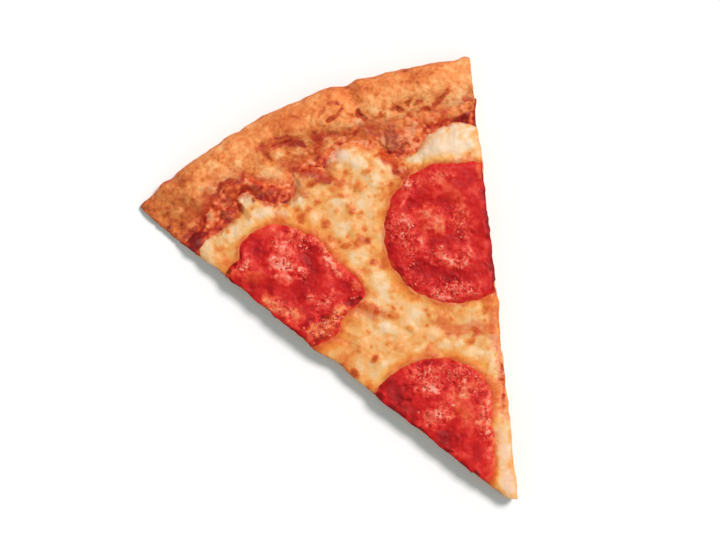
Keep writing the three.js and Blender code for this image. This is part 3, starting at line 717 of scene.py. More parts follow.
# -------- relief of the pepperoni
PEPPERONI_MARKS = {
    "right": [
        # hollows
        ([(20, 121), (27, 118.6), (31, 116.5), (34.5, 114.5)], 2.4, -0.8, -0.18),
        ([(4.5, 100), (5.5, 108), (8, 115)], 2, 0, -0.15),
        ([(11, 99), (16, 95), (20.5, 90.5), (19, 89)], 3, -0.6, -0.18),
        ([(20, 105.6), (25, 104.4), (30, 103)], 2.4, -0.5, -0.12), (24, 88, 7, 2.2, -25, -0.3, -0.14),
        ([(34, 78), (37, 88), (42, 101), (47, 113)], 1.6, -0.2, -0.16),
        (46.2, 110.8, 1.9, 0.6, 67, -0.1, -0.5, -1), (43, 103.2, 1.4, 0.6, 67, -0.1, -0.5, -1),
        (40.2, 97, 1.6, 0.6, 67, -0.1, -0.4, -1), (34.2, 82.2, 1.8, 0.6, 67, -0.1, -0.5, -1),
        # raised, lighter meat, with painted sheen and glints
        (24, 113, 5.5, 5, -20, 0.8, 0.22, 0.15),
        # the pale ridge below is painted sheen, and the small lighter spots down to (23.8, 84.8) are
        # painted glints
        ([(18.6, 119), (24, 116.6), (28.5, 115.4)], 1.4, 0.4, 0.14),
        (15.6, 117, 1.3, 2.4, 10, 0.3, 0.14),
        (17.2, 107.4, 1.2, 1.3, 0, 0.3, 0.28), (11.4, 110, 0.8, 1.8, 5, 0.2, 0.24),
        (8.4, 117.6, 1.1, 1, 0, 0.2, 0.24), (15.4, 101.2, 1.2, 0.7, 0, 0.2, 0.26),
        (22.4, 101.6, 1.6, 1, 20, 0.3, 0.3), (27.6, 92.4, 1.1, 1.4, 0, 0.3, 0.28),
        (31.2, 96, 0.8, 1.6, -20, 0.2, 0.24),
        ([(31.6, 109.4), (33, 111), (35.6, 112.8)], 0.8, 0.2, 0.26),
        (17.6, 123.6, 1.6, 0.7, 30, 0.2, 0.24), (23.4, 129.6, 1.8, 0.8, 35, 0.2, 0.2),
        ([(10.6, 87.4), (13, 84.6), (15.6, 82.6)], 0.8, 0.2, 0.26),
        ([(14.6, 88), (18.6, 86.6)], 0.7, 0.2, 0.22), (23.8, 84.8, 1.8, 0.9, -20, 0.2, 0.24),
        (24.5, 108.6, 2.2, 2.6, 0, 0.2, 0.16, 0.3), (37, 117, 3.2, 7, 10, 0.3, 0.1, 0.2),
        (34, 107, 3, 5, -20, 0.1, 0.06, 0.15), (22, 97, 3, 5, 30, 0.6, 0.26, 0.1),
        (14, 116, 3.4, 5, 10, 0.5, 0.22), (20, 84, 7, 2.4, -30, 0.4, 0.18),
        (29.5, 93, 3, 3.6, 0, 0.4, 0.14), (32, 126, 7, 2.6, -12, 0.3, 0.12, 0.1),
        (23.5, 129, 3, 1.8, 20, 0.3, 0.22), (44.5, 117, 4.4, 9, 10, 0.1, 0),
        (38, 96, 3.4, 9, -24, 0, -0.04), ([(50.4, 122), (48.6, 117.5)], 1, 0, 0.1, 0.4),
    ],
    "left": [
        # hollows
        ([(-49, 121.5), (-43, 118.6), (-38, 114.6), (-31, 113), (-25, 116), (-22.6, 123)],
         3.4, -0.5, -0.14),
        (-40, 134, 3.2, 5.5, -10, -0.4, -0.18), (-24.4, 123, 2, 4, 0, -0.1, -0.04),
        (-17, 99.8, 3.2, 2.6, 0, -0.7, -0.3), (-17, 105, 3.6, 4, -20, 0.1, -0.24),
        (-36, 93.4, 3, 1.6, 0, -0.2, -0.24), (-30, 99.6, 3.4, 1.2, -10, -0.3, -0.3),
        (-53.8, 133.8, 1.8, 1.2, 10, 0.3, -0.8, -1), (-50, 134.4, 1.4, 0.8, 0, 0.2, -0.5, -0.6),
        ([(-48, 136), (-46, 138.2)], 0.8, -0.1, -0.35, -0.6), (-41.5, 140.2, 1.4, 0.6, 10, -0.1, -0.2),
        ([(-39.6, 100.4), (-34, 101.2)], 0.9, -0.3, -0.2, -0.6),
        ([(-31, 100.6), (-28, 99.8)], 0.7, -0.3, -0.2, -0.6),
        ([(-36.6, 92.6), (-31.6, 92.8)], 1.1, -0.2, -0.18, -0.3),
        # raised, lighter meat, with painted glints
        (-33.4, 126.6, 5.8, 8.6, 5, 0.9, 0.26), (-34.4, 124.6, 4.6, 5.4, 10, 0, 0.1),
        (-32.4, 130.4, 4.6, 3.6, 0, 0, 0.1), (-36.4, 121, 4, 2.8, 0, 0.3, 0.06),
        # the small lighter spots at (-27.4, 119.6), (-45.4, 132), (-31, 110.4), (-26.4, 104.6), (-22,
        # 107.4) and (-18.4, 118) are painted glints
        (-28, 118.6, 2.6, 3, 0, 0.6, 0.3), (-27.4, 119.6, 0.8, 1.8, 20, 0.2, 0.2),
        (-45.4, 132, 2, 1, 20, 0.2, 0.2), (-31, 110.4, 1, 0.9, 30, 0.2, 0.2),
        (-26.4, 104.6, 1.3, 0.7, 10, 0.2, 0.22), (-22, 107.4, 0.6, 1.3, -20, 0.2, 0.2),
        (-18.4, 118, 0.8, 2.4, 10, 0.2, 0.12), (-22.6, 133, 5, 4, -30, 0.3, 0.12, 0.15),
        (-29.5, 137, 4, 2, -20, 0.2, 0.16), (-17.2, 120, 1.8, 9, 5, 0.4, 0.18, 0.3),
        (-46, 127, 4, 3, -30, 0.3, 0.08, 0.35), (-51, 130.6, 1.8, 3.6, 20, 0.3, 0.1, 0.4),
        (-46.6, 132.4, 2, 1.4, 0, 0.3, 0.24),
        ([(-46.4, 117), (-43, 111), (-38.4, 105.4)], 2.6, 0.4, 0.16, 0.5),
        ([(-24, 100.5), (-20, 98), (-17, 97)], 1.6, 0.4, 0.22, 0.4),
        (-32, 96.2, 8, 3.6, 8, 0.3, -0.04, 0.7), (-26.4, 97.4, 4, 1.8, 10, 0.3, 0.14, 0.9),
        ([(-37.6, 97.6), (-33, 98.8), (-29, 97.8)], 0.9, 0.3, 0.24, 0.7),
        ([(-36, 95), (-31, 95.4), (-26.4, 96.4)], 0.8, 0.2, 0.18, 0.7),
        (-31.4, 109.6, 2, 2.4, 30, 0.3, 0.22), (-26.6, 104, 3.4, 2.4, 0, 0.3, 0.14),
        (-12.6, 105, 1.6, 2.4, -20, 0.3, 0.1, 0.5),
    ],
    "tip": [
        # hollows
        (-20, 62, 5, 7, 0, -0.2, -0.26), (-18, 53, 3.6, 6, 10, -0.4, -0.24),
        (-3, 65, 5, 1.6, -20, -0.2, -0.3), (-10.4, 34.6, 4.4, 5.5, 0, -0.4, -0.34),
        (-3, 27, 4.4, 4, 0, -0.2, -0.08), (-25.8, 62.5, 0.9, 2, 0, 0.2, -0.7, -1),
        (-24, 57, 0.7, 2.2, 15, 0.2, -0.7, -1), (-22.2, 53, 0.7, 1, 20, 0.2, -0.6, -1),
        (-20, 47.6, 0.7, 1.1, 20, 0.3, -0.9, -1), (-17.4, 44, 0.6, 1.4, 25, 0.2, -0.5, -1),
        (-12.8, 32, 0.6, 2, 25, 0.2, -0.5, -1), (-7.8, 19.4, 0.6, 1.2, 25, 0.3, -0.8, -1),
        # raised, lighter meat, with painted glints
        # the small lighter spots and the short stroke from (-8.8, 57) down to (3.4, 30.8) are painted
        # glints
        (-9.5, 45.5, 6, 5, -10, 0.8, 0.22), (-8.8, 57, 1.6, 0.9, -10, 0.3, 0.34),
        ([(-7.4, 55.2), (-5, 54)], 0.8, 0.3, 0.36), (-13.4, 58.4, 1.4, 1, 30, 0.2, 0.24),
        (-4.6, 62.2, 1.5, 0.7, -20, 0.2, 0.3), (-2, 56, 0.9, 0.9, 0, 0.2, 0.24),
        (2.8, 58, 1.4, 0.9, -40, 0.2, 0.26), (5.4, 52.2, 1.6, 1, -20, 0.3, 0.3),
        (-12.4, 48, 1.4, 0.9, 20, 0.2, 0.2), (-6.6, 42.6, 1.6, 0.8, 60, 0.2, 0.22),
        (3.4, 30.8, 1.2, 0.8, 20, 0.2, 0.26), (-14, 49, 3, 1.8, 0, 0.3, 0.18),
        (0, 43, 4.6, 6, 0, 0.3, 0.06, 0.3), (6, 49.6, 5, 4, 0, 0.6, 0.2, 0.2),
        (-8, 57, 5, 3.4, -20, 0.5, 0.2), (-11.6, 64.6, 2.4, 3, 0, 0.3, 0.22),
        (-3, 61.5, 3, 2.6, 0, 0.3, 0.14), (4, 57, 3.6, 4.2, -30, 0.3, 0.14),
        (12, 49.4, 1.4, 3, 0, 0.2, 0.14, 0.4), (4.6, 34.6, 3, 5.5, -25, 0.5, 0.26, 0.2),
        (9, 41.6, 2.4, 2, 0, 0.2, 0.2, 0.2),
        ([(4, 27), (2, 21), (-1, 17), (-4, 14)], 1.6, 0.1, 0.1, 0.3),
    ],
}
# Where fat and meat stand out as grains, which also carry painted glints: (x, y, half length, half
# width, degrees, share).
PEPPERONI_GRAIN = {
    "right": [
        (12, 113, 6, 13, 5, 1), (19, 85, 11, 4, -28, 1), (20.5, 100, 4, 4, 20, 0.9),
        (27, 94, 5, 4, 0, 0.9), (23, 128.6, 5, 3, 20, 0.9), (34, 126, 6, 3.4, -12, 0.5),
        (7, 98, 4, 7, 0, 0.7), (33, 106, 4.4, 8, -20, 0.8), (24, 112, 6, 6, 0, 0.34),
    ],
    "left": [
        (-33, 128, 6, 9, 5, 0.62), (-23, 131, 6, 7, -20, 1), (-17.5, 120, 3.4, 11, 5, 0.9),
        (-47, 132.6, 4, 2.4, 0, 0.8), (-43, 111, 3.4, 8, 30, 0.9), (-32, 96, 10, 5, 5, 1),
        (-26, 105, 7, 3.6, 0, 0.9), (-31, 109.6, 3, 2.6, 0, 0.8), (-14, 103, 4, 4, 0, 0.7),
        (-28.4, 119, 3, 3, 0, 0.8),
    ],
    "tip": [
        (-7, 60, 8, 7, -10, 1), (4, 56, 6, 7, -30, 1), (-10, 46, 7, 5, -10, 0.9), (8, 47, 5, 5, 0, 0.7),
        (5, 34, 4, 7, -25, 0.8), (1, 24, 3, 4, -25, 0.5),
    ],
}


def disc_edge(disc, step):
    """A disc's outline, cut off where it crosses a cut of the slice, counter-clockwise."""
    turn = np.linspace(0, 2 * np.pi, FINE_DISC, endpoint=False)
    around = np.stack([np.cos(turn), np.sin(turn)], axis=1)
    reach = disc_radius(disc, turn)
    never, far = 1e6, 80
    for side in (-1, 1):
        toward = side * np.cos(turn) * math.cos(HALF_ANGLE) - np.sin(turn) * math.sin(HALF_ANGLE)
        room = (math.tan(HALF_ANGLE) * disc.centre[1] - side * disc.centre[0]) * math.cos(HALF_ANGLE)
        with np.errstate(divide="ignore"):
            hit = np.where(toward > 0.02, room / toward, never)
        x, y = (disc.centre + np.minimum(hit, far)[:, None] * around).T
        bulge = cut_bulge(side, np.hypot(x, y)) + 0.15 + 0.45 * noise(flat(x, y), 3.5, 107, octaves=2)
        cut = hit + bulge * 0.92 / np.maximum(toward, 0.3)
        reach = np.minimum(reach, np.where(toward > 0.02, cut, never))
    return resample(disc.centre + reach[:, None] * around, step)


def grained(name, p):
    """How much the grains of a slice of meat stand out, from 0 to 1."""
    marks = [(*place, 0, 0, share) for *place, share in PEPPERONI_GRAIN[name]]
    return read_marks(marks, p, wander=0.9, seed=8)[2]


def crinkled(p):
    """The skin's fine folds: 1 along their ridges, below 0 in the hollows between."""
    return np.clip(1 - 2.6 * np.abs(noise(p, 2.1, 93, octaves=2)), -1, 1)


def pepperoni_top(name, p):
    """The meat's upper surface: crinkled where its grains stand out, rounded down at its edge."""
    away = outside_disc(DISCS[name], p)
    lift = (PEPPERONI_HEIGHT - 0.9) * smooth(0.2, -3.2, away) - 0.6 * smooth(-1.1, 0.2, away)
    relief = 0.3 * noise(p, 6, 91, octaves=2) + 0.12 * noise(p, 2.4, 92, octaves=2)
    relief += grained(name, p) * (0.17 * crinkled(p) + 0.1 * noise(p, 0.9, 101))
    marks = read_marks(PEPPERONI_MARKS[name], p, wander=0.9, seed=7)[0]
    cut = -0.35 * beside_cut(p, 0.5)
    return cheese_form(p) + lift + (relief + 0.7 * marks) * smooth(0, -1.5, away) + cut


# -------- from numbers to meshes
def frame_tip():
    """Where the two cuts would meet, in metres.

    It is found from the blunt tip's two corners, the dough's lowest points in Y.
    """
    points = np.array([vertex.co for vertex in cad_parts["dough"].data.vertices])
    corners = points[points[:, 1] < points[:, 1].min() + 1e-5]
    middle = corners[:, 0].mean()
    half = np.abs(corners[:, 0] - middle).max()
    return np.array([middle, corners[0, 1] - half / math.tan(HALF_ANGLE), 0.0])


TIP = frame_tip()


def new_object(name, mesh, material):
    """A mesh in the scene, with its material."""
    mesh.materials.append(material)
    made = bpy.data.objects.new(name, mesh)
    bpy.context.scene.collection.objects.link(made)
    return made


def piece(name, made, looks, material):
    """A smooth mesh from a slab, with its looks as point attributes."""
    used = np.unique(made.faces)
    place = np.zeros(len(made.points), int)
    place[used] = np.arange(len(used))
    mesh = bpy.data.meshes.new(name)
    mesh.from_pydata((made.points[used] * MM + TIP).tolist(), [], place[made.faces].tolist())
    for key, values in looks.items():
        attribute = mesh.attributes.new(key, "FLOAT", "POINT")
        attribute.data.foreach_set("value", values[used].astype(np.float32))
    mesh.shade_smooth()
    return new_object(name, mesh, material)


# -------- shape and looks of the dough
def dough_slab():
    """The base with its rim. Its wall bulges round the rim, and is open crumb at the cuts."""
    edge = wedge(lambda angle: rim_distance(angle) - RIM_TURN, inset=0, step=0.55)
    angle, distance = polar(edge)
    radial = np.stack([np.sin(angle), np.cos(angle)], axis=1)
    on_rim = smooth(-6, -0.5, distance - rim_distance(angle) + RIM_TURN)
    normal = outward(edge)

    def wall(share):
        if share < 0.5:
            bulge = RIM_TURN * (1 - (1 - 2 * share) ** 2.3)
        else:
            bulge = RIM_TURN - SIDE_TUCK * (2 * share - 1) ** 2.2
        height = (1 - share) * (RIM_WALL * on_rim + CUT_WALL * (1 - on_rim))
        place = flat(*edge.T, height)
        flattened = place * [1, 1, 1.7]
        pores = smooth(0.5, 0.2, near_cell(flattened, 3.8, 51))
        pores += 0.6 * smooth(0.45, 0.15, near_cell(place, 1.7, 52))
        crumb = -0.8 * pores * (1 - on_rim) * smooth(0, 0.15, share) * smooth(1, 0.88, share)
        rough = 0.22 * noise(place, 4, 53, octaves=3) * smooth(0, 0.1, share)
        turned = -0.35 * smooth(0.12, 0, share) * (1 - on_rim) - 0.3 * smooth(0.85, 1, share)
        return radial * (bulge * on_rim)[:, None] + normal * (crumb + rough + turned)[:, None]

    def underside(p):
        return 0.15 + 0.12 * noise(p, 6, 54, octaves=2)

    def bare(p):
        return sauce_room(p) < 5

    shares = np.linspace(0, 1, 17)[1:-1] ** 1.15
    return slab(edge, dough_top, underside, wall, shares, step=0.5, bare=bare)


def dough_looks(made):
    """How brown the crust is, paler on the rim's inner slope as painted light, where sauce stains it,
    and where its crumb is open.
    """
    p = made.points
    angle, distance = polar(p)
    inset = rim_distance(angle) - distance
    mottle = noise(p, 2.6, 30, octaves=2)
    smear = smooth(5, 0.5, 1.6 * noise(p, 3.5, 29, octaves=2) - sauce_room(p))
    smear *= 1 - 0.5 * smooth(18, 34, p[:, 0])
    share = smear * np.clip(0.6 + 0.35 * mottle, 0, 1)
    below = {"tint": share, "shade": 0.62 + 0.1 * mottle}
    _, tone, stain, shade = read_marks(RIM_MARKS, p, wander=0.7, **below)
    tone += (0.14 * mottle + 0.14 * noise(p, 1.2, 108)) * smear
    tone += 0.41 + 0.07 * noise(p, 15, 25) + 0.17 * noise(p, 4.5, 26, octaves=3)
    pits = smooth(0.4, 0.12, near_cell(p, 3.2, 24))
    pale = smooth(0.4, 0.15, near_cell(p, 4.4, 27))
    tone += 0.18 * pits - 0.16 * pale
    tone += 0.12 * smooth(1.6, 0, inset) + 0.16 * beside_cut(p, 0.8)
    # paler on the rim's inner slope towards the right: painted light, lifting the shade the slope gets
    # as it faces away from the key light
    tone -= 0.18 * smooth(4, 11, inset) * smooth(-12, 20, p[:, 0])
    tone += 0.1 * smooth(-30, -66, p[:, 0])
    ceiling = np.where(made.edge_place >= 0, p[:, 2] / np.maximum(1 - made.down, 0.02), 99)
    depth = np.minimum.reduce([p[:, 2], ceiling - p[:, 2], inset])
    crumb = (made.part == 1) * smooth(0.7, 1.8, depth + 0.35 * noise(p, 2.5, 106))
    crumb *= smooth(2.5, 4.5, inset)
    under = made.part == 2
    tone[under] = 0.42 + 0.2 * noise(p[under], 16, 28, octaves=3)
    tone[under] += 0.3 * smooth(0.5, 0.15, near_cell(p[under], 9, 55))
    stain = stain * smooth(0.1, 0, made.down)
    return {"tone": tone, "stain": stain, "shade": shade, "crumb": crumb}


# -------- shape and looks of the sauce
def sauce_slab():
    """The sauce from tip to rim, bowing out a little at the cuts."""
    edge = wedge(sauce_end, inset=0, step=0.6)
    normal = outward(edge)

    def wall(share):
        place = flat(*edge.T, 2 * share)
        bow = 0.12 * noise(place, 2.5, 34, octaves=2) + 0.3 * math.sin(math.pi * share)
        return normal * bow[:, None]

    def underside(p):
        return dough_form(p) - SAUCE_SUNK

    def bare(p):
        return cheese_room(p) < 3

    shares = np.array([0.25, 0.5, 0.75])
    return slab(edge, sauce_top, underside, wall, shares, step=0.45, bare=bare)


def sauce_looks(made):
    """How thick and dark the sauce is, with a few painted highlights, where it is clotted, and where it
    has dried to a crust.
    """
    p = made.points
    _, shade, brown, _ = read_marks(SAUCE_MARKS, p, wander=0.6, seed=3)
    shade += 0.58 + 0.26 * noise(p, 5, 35, octaves=3) + 0.25 * noise(p, 1.4, 36)
    right = smooth(-22, 12, p[:, 0])
    shade += 0.12 * right - 0.07 * (1 - right) - 0.06 * smooth(-38, -55, p[:, 0])
    room = sauce_room(p)
    uneven = room / (2 + 3 * right) + 0.4 * noise(p, 3.5, 37, octaves=2)
    dry = (0.2 + 0.65 * right) * smooth(1, 0, uneven)
    dry = np.maximum(dry, (0.08 + 0.77 * right) * smooth(0.1, 0.7, noise(p, 4.5, 39, octaves=3)))
    at_cut = smooth(0.9, 0, cut_room(p))
    # no dried crust colour where the sauce is palest, so that its painted highlights stay pink
    dry *= (1 - brown) * (1 - at_cut) * smooth(1.2, 0.95, shade)
    shade -= 0.22 * at_cut
    tone = 0.5 + 0.2 * noise(p, 4, 38, octaves=2)
    return {"shade": shade, "brown": brown, "dry": dry, "tone": tone}


# -------- shape and looks of the cheese
def cheese_slab():
    """The cheese, which sags over the sauce at the cuts."""
    edge = wedge(cheese_end, inset=-0.1, step=0.5)
    normal = outward(edge)

    def wall(share):
        place = flat(*edge.T, 3 * share)
        drip = 0.25 + 0.35 * noise(place, 5, 84, octaves=2)
        bow = drip * math.sin(math.pi * (0.15 + 0.8 * share)) ** 2 + 0.1 * noise(place, 1.6, 85)
        return normal * bow[:, None]

    def underside(p):
        return dough_form(p) - CHEESE_SUNK

    def bare(p):
        return outside_pepperoni(p) > -2.5

    shares = np.linspace(0, 1, 7)[1:-1]
    return slab(edge, cheese_top, underside, wall, shares, step=0.45, bare=bare)


def cheese_looks(made):
    """How brown the cheese is, where oil lies on it, and where sauce stains it or shows through."""
    p = made.points
    _, tone, oil, _ = read_marks(CHEESE_MARKS, p, wander=0.5, seed=5, rough=0.2)
    away = outside_pepperoni(p)
    middle = smooth(-0.5, 3, away)
    blisters = smooth(0.36, 0.14, near_cell(p, 6, 86)) * smooth(-0.3, 0.5, noise(p, 16, 87))
    freckles = smooth(0.36, 0.1, near_cell(p, 3.2, 88)) * smooth(-0.3, 0.4, noise(p, 12, 89))
    tone = 0.85 * tone + 0.37 + 0.08 * noise(p, 13, 90) + 0.18 * noise(p, 6, 94, octaves=3)
    tone -= 0.09 * smooth(130, 137, p[:, 1]) * smooth(-24, -14, p[:, 0]) * smooth(20, 12, p[:, 0])
    tone += (0.24 * blisters + 0.2 * freckles) * middle
    ring = 0.95 * bell(away, 0.6, 2.4) * smooth(-1, 0.2, noise(p, 9, 95))
    oil = np.clip(oil + ring, 0, 1)
    tone += 0.14 * bell(away, 0.2, 1.4)
    tone += 0.1 * beside_cut(p, 0.9)
    soft = np.interp(p[:, 0], *CHEESE_END_SOFT)
    room = cheese_room(p)
    right = smooth(-24, -8, p[:, 0])
    tone += 0.16 * noise(p, 2.6, 105, octaves=2) * right * smooth(12, 4, room)
    smear = (0.9 - 0.25 * right) * smooth(1, 0, room / soft + 0.45 * noise(p, 2.5, 99, octaves=2))
    ragged = away + 0.5 + 0.7 * noise(p, 2.5, 102, octaves=2)
    bleed = 0.6 * bell(np.clip(ragged, 0, 9), 0, 1.1)
    smear = np.maximum(smear, bleed * smooth(-2.6, -1, away))
    thin = 0.6 + 0.2 * right * smooth(1, 4, away)
    below = {"tint": smear, "shade": thin}
    _, _, stain, shade = read_marks(CHEESE_STAINS, p, wander=0.9, seed=6, **below)
    return {"tone": tone, "oil": oil, "stain": stain, "shade": shade}


# -------- shape and looks of the pepperoni
def pepperoni_slab(name):
    """One slice of the meat, pressed into the cheese."""
    edge = disc_edge(DISCS[name], step=0.45)
    normal = outward(edge)

    def wall(share):
        place = flat(*edge.T, 2 * share)
        bow = 0.15 * math.sin(math.pi * share) + 0.12 * noise(place, 2, 96, octaves=2)
        return normal * bow[:, None]

    def upper(p):
        return pepperoni_top(name, p)

    def underside(p):
        return cheese_form(p) - PRESSED_IN - PEPPERONI_SUNK

    shares = np.array([0.15, 0.35, 0.6, 0.8])
    return slab(edge, upper, underside, wall, shares, step=0.42)


def pepperoni_looks(name, made):
    """How light the meat is, with painted glints and shade along its fine folds, where oil lies on it,
    and where its grains stand out.
    """
    p = made.points
    _, tone, oil, _ = read_marks(PEPPERONI_MARKS[name], p, wander=0.9, seed=7)
    away = outside_disc(DISCS[name], p)
    tone = 1.1 * tone + 0.5 + 0.12 * noise(p, 7, 97, octaves=2) + 0.1 * noise(p, 2.4, 98, octaves=2)
    grain = grained(name, p)
    # lighter along the skin's fine ridges and darker in the hollows between: painted glints and painted
    # shade
    tone += (0.03 + 0.16 * grain) * crinkled(p)
    flecks = smooth(0, 0.5, noise(p, 3, 103, octaves=2))
    tone -= (0.12 + 0.5 * flecks) * beside_cut(p, 0.6)
    near_edge = smooth(-1.6, -0.4, away + 0.8 * noise(p, 2.5, 104, octaves=2))
    oil = np.clip(0.75 * oil + 0.3 * near_edge, 0, 1)
    return {"tone": tone, "oil": oil, "grain": np.clip(grain, 0.06, 1)}


# -------- tools for node trees
def colour(hex_code):
    """An sRGB hex colour as linear RGBA."""
    parts = [int(hex_code[i : i + 2], 16) / 255 for i in (0, 2, 4)]
    return [c / 12.92 if c <= 0.04045 else ((c + 0.055) / 1.055) ** 2.4 for c in parts] + [1]


def add(tree, kind, inputs=(), ramp=(), **settings):
    """Adds a node with its settings and colour stops.

    An input is a number, a socket, or a node, which stands for its main output.
    """
    node = tree.nodes.new(kind)
    for key, value in settings.items():
        setattr(node, key, value)
    for key, value in dict(inputs).items():
        named = [socket for socket in node.inputs if socket.name == key and socket.enabled]
        socket = named[0] if named else node.inputs[key]
        if isinstance(value, bpy.types.Node):
            value = next(output for output in value.outputs if output.enabled)
        if isinstance(value, bpy.types.NodeSocket):
            tree.links.new(value, socket)
        else:
            socket.default_value = value
    for i, (place, code) in enumerate(ramp):
        stop = node.color_ramp.elements[i] if i < 2 else node.color_ramp.elements.new(place)
        stop.position = place
        stop.color = colour(code)
    return node


def patches(place, mm, detail=2.0, roughness=0.5):
    """The inputs of a noise whose patches are this many mm across, on coordinates in metres."""
    return {"Vector": place, "Scale": 1 / (mm * MM), "Detail": detail, "Roughness": roughness}


def new_material(name, *values):
    """An empty material, with sockets for the place on the piece and for the piece's own values."""
    material = bpy.data.materials.new(name)
    material.use_nodes = True
    tree = material.node_tree
    tree.nodes.clear()
    place = add(tree, "ShaderNodeTexCoord").outputs["Object"]
    own = [add(tree, "ShaderNodeAttribute", attribute_name=value).outputs["Fac"] for value in values]
    return material, tree, place, *own


# -------- materials
def mottled(tree, place, tone, amount, mm, roughness=0.6):
    """A tone with fine patches laid over it, up to `amount` above and below."""
    mottle = add(tree, "ShaderNodeTexNoise", patches(place, mm, 4, roughness), normalize=False)
    return add(tree, "ShaderNodeMath", {0: mottle, 1: amount, 2: tone}, operation="MULTIPLY_ADD")


def crust_colour(tree, place, tone):
    """Dry dough: cream where it stayed soft, then gold, orange-brown and nearly black."""
    tone = mottled(tree, place, tone, amount=0.16, mm=1.5, roughness=0.65)
    stops = [(0, "ffc286"), (0.22, "fca562"), (0.48, "e8803c"), (0.75, "c9561c"), (1, "78260c")]
    return add(tree, "ShaderNodeValToRGB", {0: tone}, stops)


def sauce_colour(tree, place, shade):
    """Cooked tomato: maroon where it is thick and dried, orange where it is thin."""
    shade = mottled(tree, place, shade, amount=0.17, mm=1.6)
    stops = [(0, "780c0a"), (0.25, "9a1a0e"), (0.5, "bc3614"), (0.75, "dc622e"), (1, "ec9466")]
    return add(tree, "ShaderNodeValToRGB", {0: shade}, stops)


def baked_dough():
    """Oven-baked wheat dough: dry and matt, golden where thick, browner where the heat caught it."""
    own = "tone", "stain", "shade", "crumb"
    material, tree, place, tone, stain, shade, crumb = new_material("oven_baked_wheat_dough", *own)
    grain = add(tree, "ShaderNodeTexNoise", patches(place, 1.5, 4, 0.65))
    inside = add(tree, "ShaderNodeValToRGB", {0: grain}, [(0.3, "dfa46c"), (0.6, "f6cfa2")])
    crust = crust_colour(tree, place, tone)
    base = add(tree, "ShaderNodeMix", {"Factor": crumb, "A": crust, "B": inside}, data_type="RGBA")
    sauce = sauce_colour(tree, place, shade)
    base = add(tree, "ShaderNodeMix", {"Factor": stain, "A": base, "B": sauce}, data_type="RGBA")
    roughness = add(tree, "ShaderNodeMapRange", {"Value": stain, "To Min": 0.6, "To Max": 0.4})
    normal = add(tree, "ShaderNodeBump", {"Height": grain, "Distance": 0.6 * MM})
    # a baked crust's skin is finer than the render can show, so its grain is drawn at 0.7 mm
    fine = add(tree, "ShaderNodeTexNoise", patches(place, 0.7))
    normal = add(tree, "ShaderNodeBump", {"Height": fine, "Distance": 0.16 * MM, "Normal": normal})
    inputs = {"Base Color": base, "Roughness": roughness, "Normal": normal, "IOR": 1.4}
    shader = add(tree, "ShaderNodeBsdfPrincipled", inputs)
    add(tree, "ShaderNodeOutputMaterial", {"Surface": shader})
    return material


def cooked_sauce():
    """Tomato sauce baked until its rim dries: wet, lumpy, maroon to brick red."""
    own = "tone", "shade", "brown", "dry"
    material, tree, place, tone, shade, brown, dry = new_material("baked_tomato_sauce", *own)
    sauce = sauce_colour(tree, place, shade)
    clots = add(tree, "ShaderNodeTexNoise", patches(place, 1.6, 4, 0.6))
    stops = [(0.3, "94361f"), (0.5, "ae4c2e"), (0.7, "c86e4a")]
    dull = add(tree, "ShaderNodeValToRGB", {0: clots}, stops)
    base = add(tree, "ShaderNodeMix", {"Factor": brown, "A": sauce, "B": dull}, data_type="RGBA")
    crust = crust_colour(tree, place, tone)
    base = add(tree, "ShaderNodeMix", {"Factor": dry, "A": base, "B": crust}, data_type="RGBA")
    pools = add(tree, "ShaderNodeTexNoise", patches(place, 3))
    limits = {"From Min": 0.3, "From Max": 0.7, "To Min": 0.36, "To Max": 0.54}
    roughness = add(tree, "ShaderNodeMapRange", {"Value": pools, **limits})
    normal = add(tree, "ShaderNodeBump", {"Height": clots, "Distance": 0.4 * MM})
    # the tomato's pulp is finer than the render can show, so it is drawn at 0.7 mm
    fine = add(tree, "ShaderNodeTexNoise", patches(place, 0.7))
    normal = add(tree, "ShaderNodeBump", {"Height": fine, "Distance": 0.1 * MM, "Normal": normal})
    inputs = {"Base Color": base, "Roughness": roughness, "Normal": normal, "IOR": 1.4}
    shader = add(tree, "ShaderNodeBsdfPrincipled", {**inputs, "Specular IOR Level": 0.35})
    add(tree, "ShaderNodeOutputMaterial", {"Surface": shader})
    return material


